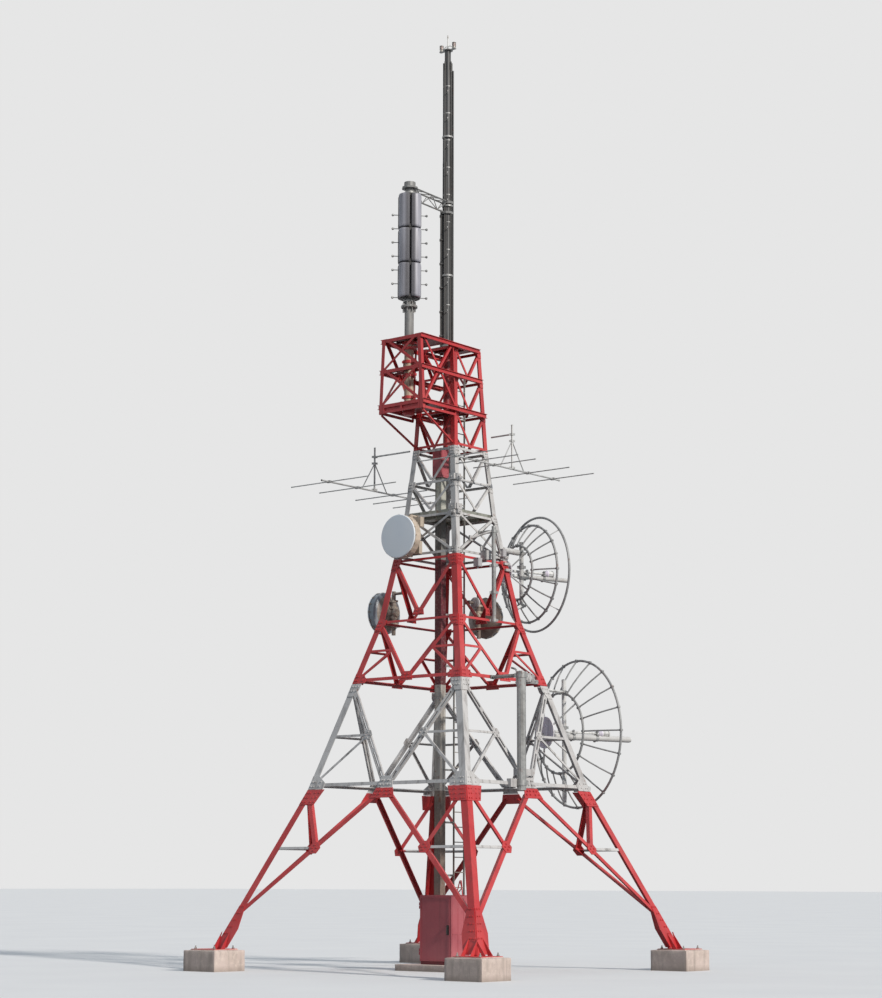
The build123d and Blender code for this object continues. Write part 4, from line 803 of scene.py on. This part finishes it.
def lamps():
    """Two lamps on finned bases, the cross below them and the tip of the rod between them."""
    covers, bases, lamp = Pile(), Pile(), Box("obstruction_lights")
    tall, cross = lamp.size.z, MAST_AT + Z * (HEAD.low.z + 0.1)
    for sx in (-1, 1):
        foot = Vector((MAST_AT.x + sx * (lamp.high.x - MAST_AT.x - 0.045), MAST_AT.y, lamp.low.z))
        bases.turned(foot, Z, [(0, 0.04), (0.02, 0.042), (0.025, 0.034), (0.045, 0.034)], 20)
        for k in range(5):
            bases.disc(foot + Z * (0.05 + 0.02 * k), Z, 0.0435, 0.004, 20)
        bases.hoop(foot + Z * (tall - 0.012), Z, 0.02, 0.003, 16)
        bases.rod(MAST_AT + Vector((sx * 0.19, 0, HEAD.low.z + 0.016)), cross + X * sx * 0.06, 0.005)
        covers.turned(foot + Z * 0.045, Z, [(0, 0.038), (tall - 0.1, 0.038), (tall - 0.075, 0.033),
                                            (tall - 0.055, 0.02), (tall - 0.048, 0.008)], 20)
    tip = [(0, 0.006), (0.02, 0.014), (0.05, 0.012), (0.079, 0.003)]
    bases.turned(MAST_AT + Z * (HEAD.high.z - 0.08), Z, tip, 10)
    bases.rod(cross - X * 0.07, cross + X * 0.07, 0.006)
    covers.done("lamp_covers", "lamp_glass", replaced="obstruction_lights")
    bases.done("lamp_bases", STEEL, BRIGHT_BOLT)


# ==== Antenna stack ====
TIERS, JOINT, LOBE_RADIUS, LOBE_OFFSET, GROOVE, CORE = 3, 0.026, 0.165, 0.1, 0.011, 0.117
LOBE_POINTS, LOBE_ARC, CORE_TURN = 14, radians(214), radians(38)
# A lobe's rounded end: the share that its outline is drawn in, and how far that is from the end.
LOBE_END = ((0.22, 0.0), (0.1, 0.006), (0.035, 0.02), (0.0, 0.05))
PEGS, PEG_STEP, PEG_REACH = 7, 0.292, 0.372
PEG_KNOB = [(0, 0.013), (0.02, 0.026), (0.04, 0.026), (0.052, 0.01)]
FLANGE_TOP, FLANGE_LOW, FLANGE_RING = STACK.low.z - 0.16, STACK.low.z - 0.2, 0.145


def lobe_outline(out, across):
    """One lobe's outline seen from above, between its two grooves."""
    points = []
    for k in range(LOBE_POINTS + 1):
        turn = (k / LOBE_POINTS - 0.5) * LOBE_ARC
        x, y = LOBE_OFFSET + LOBE_RADIUS * cos(turn), LOBE_RADIUS * sin(turn)
        limit = x - GROOVE * sqrt(2)
        points.append((x, max(-limit, min(limit, y))))
    inner = CORE * cos(CORE_TURN)
    points += [(inner, inner - GROOVE * sqrt(2)), (CORE + 0.001, 0), (inner, GROOVE * sqrt(2) - inner)]
    return [ANTENNA_AT + out * x + across * y for x, y in points]


def antenna_lobes():
    """Tiers of four lobes round the antenna's core, and the black joints between them, which are partly
    painted shade.
    """
    lobes, joints_and_shade, tall = Pile(), Pile(), (STACK.size.z + JOINT) / TIERS
    for low in [STACK.low.z + tier * tall for tier in range(TIERS)]:
        high = low + tall - JOINT
        levels = [(inset, low + rise) for inset, rise in LOBE_END]
        levels += [(inset, high - rise) for inset, rise in LOBE_END[::-1]]
        for out in around(4):
            outline, mid = lobe_outline(out, Z.cross(out)), ANTENNA_AT + out * (CORE + 0.04)
            lobes.loft([[mid + (p - mid) * (1 - inset) + Z * z for p in outline] for inset, z in levels])
            face = ANTENNA_AT + out * (STACK.high.x - ANTENNA_AT.x - 0.004)
            for z in (low + 0.05, high - 0.05):
                lobes.block(face + Z * z, (0.006, 0.06, 0.05), facing(out))
        # A black disc in each gap between tiers and black blocks in the grooves at each tier's ends. They
        # stand for joint hardware, and they are also painted shade that darkens the gaps and notches.
        joints_and_shade.disc(ANTENNA_AT + Z * (low - 0.022), Z, 0.19, 0.018)
        for out, z in product(around(4, start=pi / 4), (low + 0.025, high - 0.025)):
            joints_and_shade.block(ANTENNA_AT + out * 0.165 + Z * z, (0.07, 0.09, 0.06), facing(out))
    lobes.done("antenna_lobes", "antenna_radome", replaced="antenna_panels")
    joints_and_shade.done("antenna_joints_and_shade", BLACK, CABLE)


def antenna_steps():
    """The antenna's pegs, its collars, and its bolted flange with stiffeners."""
    pegs = Pile()
    for k, out in product(range(PEGS), around(2, start=pi / 4)):
        at = ANTENNA_AT + Z * (STACK.low.z + 0.012 + PEG_STEP * k)
        pegs.rod(at + out * 0.11, at + out * PEG_REACH, 0.009)
        pegs.turned(at + out * (PEG_REACH - 0.05), out, PEG_KNOB, 10)
    for z, radius in ((STACK.low.z - 0.03, 0.125), (STACK.low.z - 0.075, 0.11), (STACK.high.z + 0.03, 0.12)):
        pegs.disc(ANTENNA_AT + Z * z, Z, radius, 0.028)
    for out in around(12):
        pegs.bolt(ANTENNA_AT + Z * FLANGE_TOP + out * FLANGE_RING, Z, 0.026)
        pegs.bolt(ANTENNA_AT + Z * FLANGE_LOW + out * FLANGE_RING, -Z, 0.026)
    for out, z in product(around(8, start=pi / 8), (FLANGE_TOP + 0.04, FLANGE_LOW - 0.05)):
        pegs.block(ANTENNA_AT + out * 0.115 + Z * z, (0.05, 0.009, 0.08), facing(out))
    pegs.done("antenna_steps", STEEL)


# ==== Grid dishes ====
AIM = Matrix.Rotation(radians(-18.9), 3, "Z") @ Y
LEVEL = Z.cross(AIM)
BOOM_DROP, FEED_LIFT, RIBS, RIB_BENDS, RING_BAR, RIB_BAR = 0.07, 0.03, 20, 3, 0.025, 0.0165
# The ribs run between the first two hoops. Back and front are the boom's ends, and the mast ends a cap's
# height above its upper arm. Sleeve is where the boom's sleeve starts.
GridDish = namedtuple("GridDish", "centre focal hoops back front boom hub mast arms cap sleeve")
GRID_DISHES = (
    GridDish(Vector((1.103, 1.995, 4.78)), 0.91, (0.83, 1.52), -0.25, 2.0, 0.055, 0.33,
             Vector((1.283, 2.167, 0)), (3.62, 5.62), 0.25, 0.02),
    GridDish(Vector((0.555, 1.331, 8.1)), 0.57, (0.57, 1.02, 1.2), -0.2, 1.455, 0.04, 0.23,
             Vector((0.712, 1.479, 0)), (7.4, 8.5), 0.22, 0.3),
)
UPPER_ARM_X, UPPER_ARM_Z = 0.716, 8.5


def level_with(dish, radius):
    """The point of a dish's axis that is level with its parabola at a radius."""
    return dish.centre + AIM * radius ** 2 / (4 * dish.focal)


def dish_boom(dish, sleeves, hubs):
    """The sleeve of a dish's boom, its feed, and the plates of its hub."""
    boom, feed = dish.centre - Z * BOOM_DROP, dish.centre + Z * FEED_LIFT
    long, bare, thick = dish.front - dish.sleeve, dish.boom, dish.boom + 0.007
    sleeves.turned(boom + AIM * dish.sleeve, AIM,
                   [(0, bare), (0.006, thick), (long - 0.03, thick), (long - 0.012, bare + 0.001)], 20)
    sleeves.turned(feed + AIM * dish.front * 0.7, AIM,
                   [(0, 0.078), (0.02, 0.078), (0.036, 0.062), (0.04, 0.02)], 24)
    hubs.turned(feed + AIM * (dish.front * 0.62 + 0.01), -AIM, [(0, 0.078), (0.02, 0.078), (0.07, 0.034)], 24)
    plate = [(0, dish.hub - 0.003), (0.004, dish.hub - 0.003), (0.006, dish.hub * 0.5),
             (0.03, dish.hub * 0.46), (0.034, dish.hub * 0.2)]
    for way, face in ((1, dish.back + 0.073), (-1, dish.back + 0.059)):
        hubs.turned(dish.centre + AIM * face, AIM * way, plate, 32)
    for out in around(12, AIM, LEVEL):
        hubs.bolt(dish.centre + AIM * (dish.back + 0.077) + out * dish.hub * 0.84, AIM, 0.034)


def dish_grid(dish, bars, clamps):
    """A dish's hoops and ribs as round bars, with a clamp where they cross."""
    inner, outer = dish.hoops[:2]
    for radius in dish.hoops:
        bars.hoop(level_with(dish, radius), AIM, radius, RING_BAR, 80, 8)
    bends = [inner + (outer - inner) * bend / RIB_BENDS for bend in range(RIB_BENDS + 1)]
    for out in around(RIBS, AIM, LEVEL):
        bars.tube([level_with(dish, radius) + out * radius for radius in bends], RIB_BAR)
        for radius in (inner, outer):
            clamp = level_with(dish, radius) + out * radius
            clamps.block(clamp, (0.064, 0.056, 0.04), (out, AIM, out.cross(AIM)))


def dish_collars(dish, clamps):
    """The collars round a dish's boom, feed and mast, and the mast's cap."""
    for share in (0.26, 0.56):
        at = dish.centre + AIM * dish.front * share
        clamps.collar(at - Z * BOOM_DROP, AIM, dish.boom + 0.006, 0.06, 0.01)
        clamps.collar(at + Z * FEED_LIFT, AIM, 0.027, 0.05, 0.008)
    for z in (*dish.arms, dish.centre.z - 0.11, dish.centre.z + 0.11):
        clamps.collar(dish.mast + Z * z, Z, 0.047, 0.07, 0.012)
    clamps.turned(dish.mast + Z * (dish.arms[1] + dish.cap), Z, [(0, 0.05), (0.01, 0.048), (0.02, 0.03)], 16)


def grid_dishes():
    """The round skins and clamps of the two grid dishes."""
    sleeves, hubs, clamps, bars = Pile(), Pile(), Pile(), Pile()
    for dish in GRID_DISHES:
        dish_boom(dish, sleeves, hubs)
        dish_grid(dish, bars, clamps)
        dish_collars(dish, clamps)
    arm = Vector((UPPER_ARM_X, half_width(UPPER_ARM_Z) + 0.05, UPPER_ARM_Z))
    sleeves.turned(arm, Y, [(0, 0.05), (0.01, 0.062), (0.52, 0.062), (0.55, 0.05)], 16)
    sleeves.done("dish_boom_sleeves", STEEL, BOOM_WHITE)
    hubs.done("dish_hubs", STEEL, HUB_PAINT)
    clamps.done("dish_clamps", STEEL, GRID_BARS)
    bars.done("dish_bars", STEEL, GRID_BARS)


# ==== Free poles and what is clamped to them ====
THICK, THIN = Vector((2.12, -0.41, 0)), Vector((1.105, 0.03, 0))
THICK_TOP, THICK_ARM, THICK_FOOT, THIN_TOP, THIN_ARM = 5.8, 5.74, 3.64, 8.84, 8.75
# Clamps on the near leg: height and size.
LEG_CLAMPS = ((DECK + 0.05, (0.17, 0.06, 0.12)), (DECK - 0.06, (0.11, 0.07, 0.07)),
              (HALF_BAND, (0.13, 0.05, 0.13)))


def pole_clamps():
    """The caps and clamps of the two free poles, and the bent pipe beside the thick one."""
    poles, top = Pile(), THICK + Z * THICK_TOP
    poles.turned(top, Z, [(0, 0.092), (0.012, 0.09), (0.026, 0.05)], 20)
    poles.turned(THIN + Z * THIN_TOP, Z, [(0, 0.047), (0.01, 0.045), (0.02, 0.026)], 16)
    hook = [top + X * x + Z * z for x, z in ((-0.11, -0.25), (-0.11, 0.06), (-0.24, 0.1))]
    poles.tube(rounded(hook, 0.06), 0.02)
    for z in (THICK_TOP - 0.2, THICK_TOP - 0.08):
        poles.block(THICK + Z * z - X * 0.1, (0.06, 0.05, 0.02))
    for z in (THICK_FOOT, THICK_ARM):
        poles.collar(THICK + Z * z, Z, 0.09, 0.1, 0.012)
    for z in (6.935, 7.5, 8.05, THIN_ARM):
        poles.collar(THIN + Z * z, Z, 0.045, 0.06, 0.01)
    poles.done("pole_clamps", STEEL)


def beside(out, y, z, face_z=None):
    """A point beside the right face, out from where that is at its own or another height."""
    return Vector((half_width(face_z or z) + out, y, z))


def small_box(pile, centre, size):
    """A lidded box with a gland underneath."""
    pile.block(centre, size)
    pile.block(centre + X * (size[0] / 2 + 0.003), (0.006, size[1] - 0.02, size[2] - 0.02))
    pile.block(centre + Z * (size[2] / 2 - 0.006), (size[0] + 0.01, size[1] + 0.01, 0.012))
    pile.turned(centre - Z * size[2] / 2, -Z, [(0, 0.016), (0.03, 0.013), (0.045, 0.008)], 10)


def white_brackets():
    """The thick pole's arm, the thin pole's braces, and the clamps on the legs."""
    grips, arm = Pile(), THICK + Z * THICK_ARM
    along = (beside(0.037, 0.95, THICK_ARM, 5.7) - arm).normalized()
    grips.turned(arm + along * 0.14, along, [(0, 0.06), (0.02, 0.07), (0.9, 0.07), (0.92, 0.06)], 12)
    for reach in (0.2, 0.55, 0.95):
        grips.block(arm + along * reach, (0.09, 0.17, 0.17), facing(along))
    grips.block(beside(0.02, THICK.y + 0.27, 3.86, 3.8), (0.12, 0.52, 0.13))
    grips.block(beside(0.03, THICK.y - 0.17, THICK_FOOT), (0.1, 0.24, 0.16))
    for end in (beside(0.01, THIN.y, 8.42), beside(0.02, 0.6, 8.38), beside(0.01, -0.3, 8.6)):
        grips.rod(THIN + Z * (THIN_ARM + 0.02), end, 0.024, 10)
        grips.block(end, (0.03, 0.11, 0.11))
    small_box(grips, beside(0.1, 0.0, 8.27), (0.15, 0.16, 0.19))
    for z in (8.32, 8.18, 8.05):
        grips.block(on_face(1, half_width(z) - 0.07, z, 0.03), (0.06, 0.19, 0.05))
        grips.bolt(on_face(1, half_width(z) - 0.03, z, 0.06), X, 0.03)
    for (side, way), (z, size) in product(((0, 1), (1, -1)), LEG_CLAMPS):
        turn, spot = quarters(side), on_face(side, way * (half_width(z) - 0.05), z, 0.035)
        grips.block(spot, size, (turn @ X, turn @ Y, Z))
        grips.bolt(spot - turn @ Y * size[1] / 2, turn @ -Y, 0.03)
    grips.done("white_brackets", WHITE_STEEL)


# ==== Covered dishes ====
# The drum, the left and the right dish: middle of its pole, the way it faces, how far its front is, radius.
COVERED = ((Vector((-0.34, -0.87, 8.63)), -Y, 0.41, 0.44), (Vector((-1.195, -0.378, 7.22)), -X, 0.345, 0.43),
           (Vector((-0.19, 1.185, 7.2)), Y, 0.29, 0.425))
RIM_CLIPS = 16


def covered_dishes():
    """The covers, rims and clips of the closed dishes, and the gear behind them."""
    covers, rims, rear = Pile(), Pile(), Pile()
    for pole, way, front, radius in COVERED:
        across, face = way.cross(Z), pole + way * front
        cover = [(0, radius + 0.004), (0.02, radius + 0.004), (0.028, radius - 0.008), (0.033, radius * 0.6),
                 (0.034, 0.02)]
        covers.turned(face - way * 0.028, way, cover, 56)
        rims.disc(face - way * 0.04, way, radius + 0.0015, 0.012, 56)
        for out in around(RIM_CLIPS, way, across):
            clip = face - way * 0.045 + out * (radius + 0.005)
            rear.block(clip, (0.014, 0.05, 0.03), (out, way, out.cross(way)))
        for dz in (-0.24, -0.1, 0.1, 0.24):
            rear.collar(pole + Z * dz, Z, 0.044, 0.05, 0.012)
            rear.block(pole + Z * dz + way * 0.06, (0.09, 0.03, 0.04), (across, way, Z))
        rear.turned(pole - way * 0.043, -way, [(0, 0.085), (0.05, 0.085), (0.07, 0.05)], 20)
    rear.block(COVERED[0][0] + Vector((0.2, 0.02, 0.32)), (0.18, 0.12, 0.2))
    rear.block(COVERED[0][0] + Vector((0.19, 0.02, -0.2)), (0.12, 0.1, 0.26))
    covers.done("dish_covers", "dish_white", DISH_COVER)
    rims.done("dish_rims", BLACK, RUBBER)
    rear.done("dish_rear_gear", "dish_grey", REAR_GEAR)


def junction_boxes():
    """Boxes beside the right face, and a small drum over the right dish's pole."""
    boxes = Pile()
    small_box(boxes, beside(0.07, -0.26, 8.1), (0.12, 0.13, 0.17))
    small_box(boxes, beside(0.06, 0.66, 8.4, 8.45), (0.1, 0.12, 0.16))
    drum = [(0, 0.09), (0.02, 0.115), (0.06, 0.115), (0.075, 0.07)]
    boxes.turned(COVERED[2][0] + Vector((-0.03, -0.04, 0.3)), -Y, drum, 24)
    boxes.done("junction_boxes", "dish_grey", RADIO_GREY)


# ==== Yagis and small steel ====
# The way each yagi points along Y, and the foot of its post.
YAGIS = ((1, Vector((1.18, 0.55, 10.13))), (-1, Vector((-1.6, -0.55, 9.82))))
ELEMENTS, ELEMENT_HALF, BOOM_ENDS = (-1.84, -1.18, -0.6, 0.55, 1.42), 1.05, (-1.88, 1.62)
POST_CLAMPS = (0, 0.56, 0.7)


def yagi_clamps():
    """The yagis' blocks and tips, and the clamps and caps of their posts and booms."""
    joints = Pile()
    for way, post in YAGIS:
        boom = post - Z * 0.03
        for reach in ELEMENTS:
            at = boom + Y * way * reach
            joints.block(at, (0.09, 0.05, 0.05))
            tip = at + X * way * (ELEMENT_HALF - 0.03)
            joints.turned(tip, X * way, [(0, 0.014), (0.028, 0.014), (0.0305, 0.01)], 10)
        for rise in POST_CLAMPS:
            joints.collar(post + Z * rise, Z, 0.02, 0.05, 0.01)
        joints.turned(post + Z * 0.895, Z, [(0, 0.023), (0.004, 0.023), (0.005, 0.012)], 12)
        for end in BOOM_ENDS:
            joints.disc(boom + Y * way * end, Y * way, 0.021, 0.03, 12)
    joints.done("yagi_clamps", "aluminium_grey")


def bare_struts():
    """White skins over the level struts of the bottom panel, which are not red."""
    struts, (u, z) = Pile(), STRUT_NODES[0]
    low, high = u + 0.155, half_width(z) - 0.17
    for side, way in product(range(4), (-1, 1)):
        across, out, spot = quarters(side) @ X, face_out(side, z), on_face(side, way * (low + high) / 2, z)
        rise = out.cross(across)
        struts.block(spot - out * 0.004, (high - low, 0.013, 0.055), (across, out, rise))
        struts.block(spot - out * 0.026 + rise * 0.021, (high - low, 0.056, 0.013), (across, out, rise))
    struts.done("bare_struts", WHITE_STEEL)


def cage_brackets():
    """The trestle on the cabinet's roof, and what grips the antenna mast in the cage."""
    bracket, front = Pile(), Box("cage_front")
    spot = Vector((0, BODY.low.y + 0.34, BODY.high.z + 0.012))
    feet, heads = [spot + X * x for x in (0.33, 0.49)], [spot + X * x + Z * 0.28 for x in (0.42, 0.46)]
    knee = (feet[1] + heads[1]) / 2
    for a, b in (*zip(feet, heads), (feet[0], knee), (knee, heads[0]), heads):
        bracket.rod(a, b, 0.011)
    for foot in feet:
        bracket.block(foot + Z * 0.004, (0.06, 0.06, 0.008))
    flange = [(0, 0.12), (0.03, 0.13), (0.15, 0.125), (0.19, 0.085)]
    bracket.turned(ANTENNA_AT + Z * (CAGE_FLOOR - 0.06), -Z, flange, 24)
    for z in (CAGE_FLOOR + 0.12, CAGE_RAIL - 0.14, CAGE_RAIL + 0.14, CAGE_RAIL + 0.42, CAGE_TOP - 0.12):
        bracket.collar(ANTENNA_AT + Z * z, Z, 0.096, 0.06, 0.014)
        bracket.block(ANTENNA_AT + Vector((0.14, -0.02, z)), (0.12, 0.06, 0.05))
    bracket.block((0, front.mid.y, front.low.z + 0.095), (front.size.x - 0.02, 0.008, 0.17))
    bracket.done("cage_brackets", RED_STEEL)


# ==== Camera, light and floor ====
CAMERA_AT, LENS_MM, SENSOR_MM = Vector((28.2475, -35.1122, 1.708)), 79.93, 36.0
AZIMUTH, PITCH, ROLL = radians(39.066), radians(9.846), radians(0.158)
SUN_FROM, SUN_STRENGTH, SUN_ANGLE, SUN_COLOUR = Vector((0.87, -0.09, 0.5)), 3.1, radians(4), (1.0, 0.95, 0.89)
SKY_COLOUR, SKY_STRENGTH, BACKDROP, GROUND = (0.8, 0.92, 1.06, 1), 0.46, "e6e6e6", "545453"
FLOOR_SIZE = 900.0


def add_camera():
    """The camera, turned by its azimuth, pitch and roll."""
    forward = Vector((-sin(AZIMUTH) * cos(PITCH), cos(AZIMUTH) * cos(PITCH), sin(PITCH)))
    right = Vector((cos(AZIMUTH), sin(AZIMUTH), 0))
    up = right.cross(forward)
    axes = Matrix((right * cos(ROLL) + up * sin(ROLL), up * cos(ROLL) - right * sin(ROLL), -forward))
    data = bpy.data.cameras.new("camera")
    data.lens, data.sensor_width, data.sensor_fit = LENS_MM, SENSOR_MM, "AUTO"
    camera = in_scene("camera", data)
    camera.matrix_world = Matrix.Translation(CAMERA_AT) @ axes.transposed().to_4x4()
    bpy.context.scene.camera = camera
    bpy.context.scene.view_settings.view_transform = "Standard"


def seen_ray(tree):
    """1 for the camera's rays, and for those off metal or through glass."""
    rays = tree.nodes.new("ShaderNodeLightPath")
    total = rays.outputs["Is Camera Ray"]
    for name in ("Is Glossy Ray", "Is Transmission Ray"):
        either = tree.nodes.new("ShaderNodeMath")
        either.operation = "MAXIMUM"
        for source, socket in zip((total, rays.outputs[name]), either.inputs):
            tree.links.new(source, socket)
        total = either.outputs[0]
    return total


def show_apart(tree, hidden, shown, output):
    """Wires up one shader for the rays that show the background, and another for the rest."""
    pick = tree.nodes.new("ShaderNodeMixShader")
    for source, socket in zip((seen_ray(tree), hidden.outputs[0], shown.outputs[0]), pick.inputs):
        tree.links.new(source, socket)
    tree.links.new(pick.outputs[0], output.inputs["Surface"])


def add_floor():
    """A pale floor that throws back on the tower as little as bare ground would."""
    bpy.ops.mesh.primitive_plane_add(size=FLOOR_SIZE)
    floor = bpy.context.object
    floor.name = "floor"
    pale = Finish("floor_pale", "dedede", 0.95, bump=0.002)
    pale.cloud((0.35, 5), "e4e4e3", 0.6, height=0.2)
    floor.data.materials.append(pale.done())
    ground = pale.node("BsdfDiffuse", {"Color": linear(GROUND)})
    show_apart(pale.material.node_tree, ground, pale.shader, pale.nodes["Material Output"])


def add_light():
    """One low sun, a cool sky that fills the shade, and the plain backdrop that is seen."""
    data = bpy.data.lights.new("sun", "SUN")
    data.energy, data.angle, data.color = SUN_STRENGTH, SUN_ANGLE, SUN_COLOUR
    in_scene("sun", data).rotation_euler = SUN_FROM.to_track_quat("Z", "Y").to_euler()
    world = bpy.context.scene.world = bpy.data.worlds.new("world")
    world.use_nodes = True
    sky = world.node_tree
    ambient, backdrop = sky.nodes["Background"], sky.nodes.new("ShaderNodeBackground")
    for shader, colour, strength in ((ambient, SKY_COLOUR, SKY_STRENGTH), (backdrop, linear(BACKDROP), 1.0)):
        shader.inputs["Color"].default_value, shader.inputs["Strength"].default_value = colour, strength
    show_apart(sky, ambient, backdrop, sky.nodes["World Output"])


for build in (gusset_bolts, foundations, cabinet_trim, door_folds, swing_handle, cabinet_inside,
              cable_tray, tray_cables, ladder_ties, upper_enclosure, junction_box, mast_steps, mast_cables,
              lamps, antenna_lobes, antenna_steps, grid_dishes, pole_clamps, white_brackets, covered_dishes,
              junction_boxes, yagi_clamps, bare_struts, cage_brackets, add_camera, add_floor, add_light):
    build()
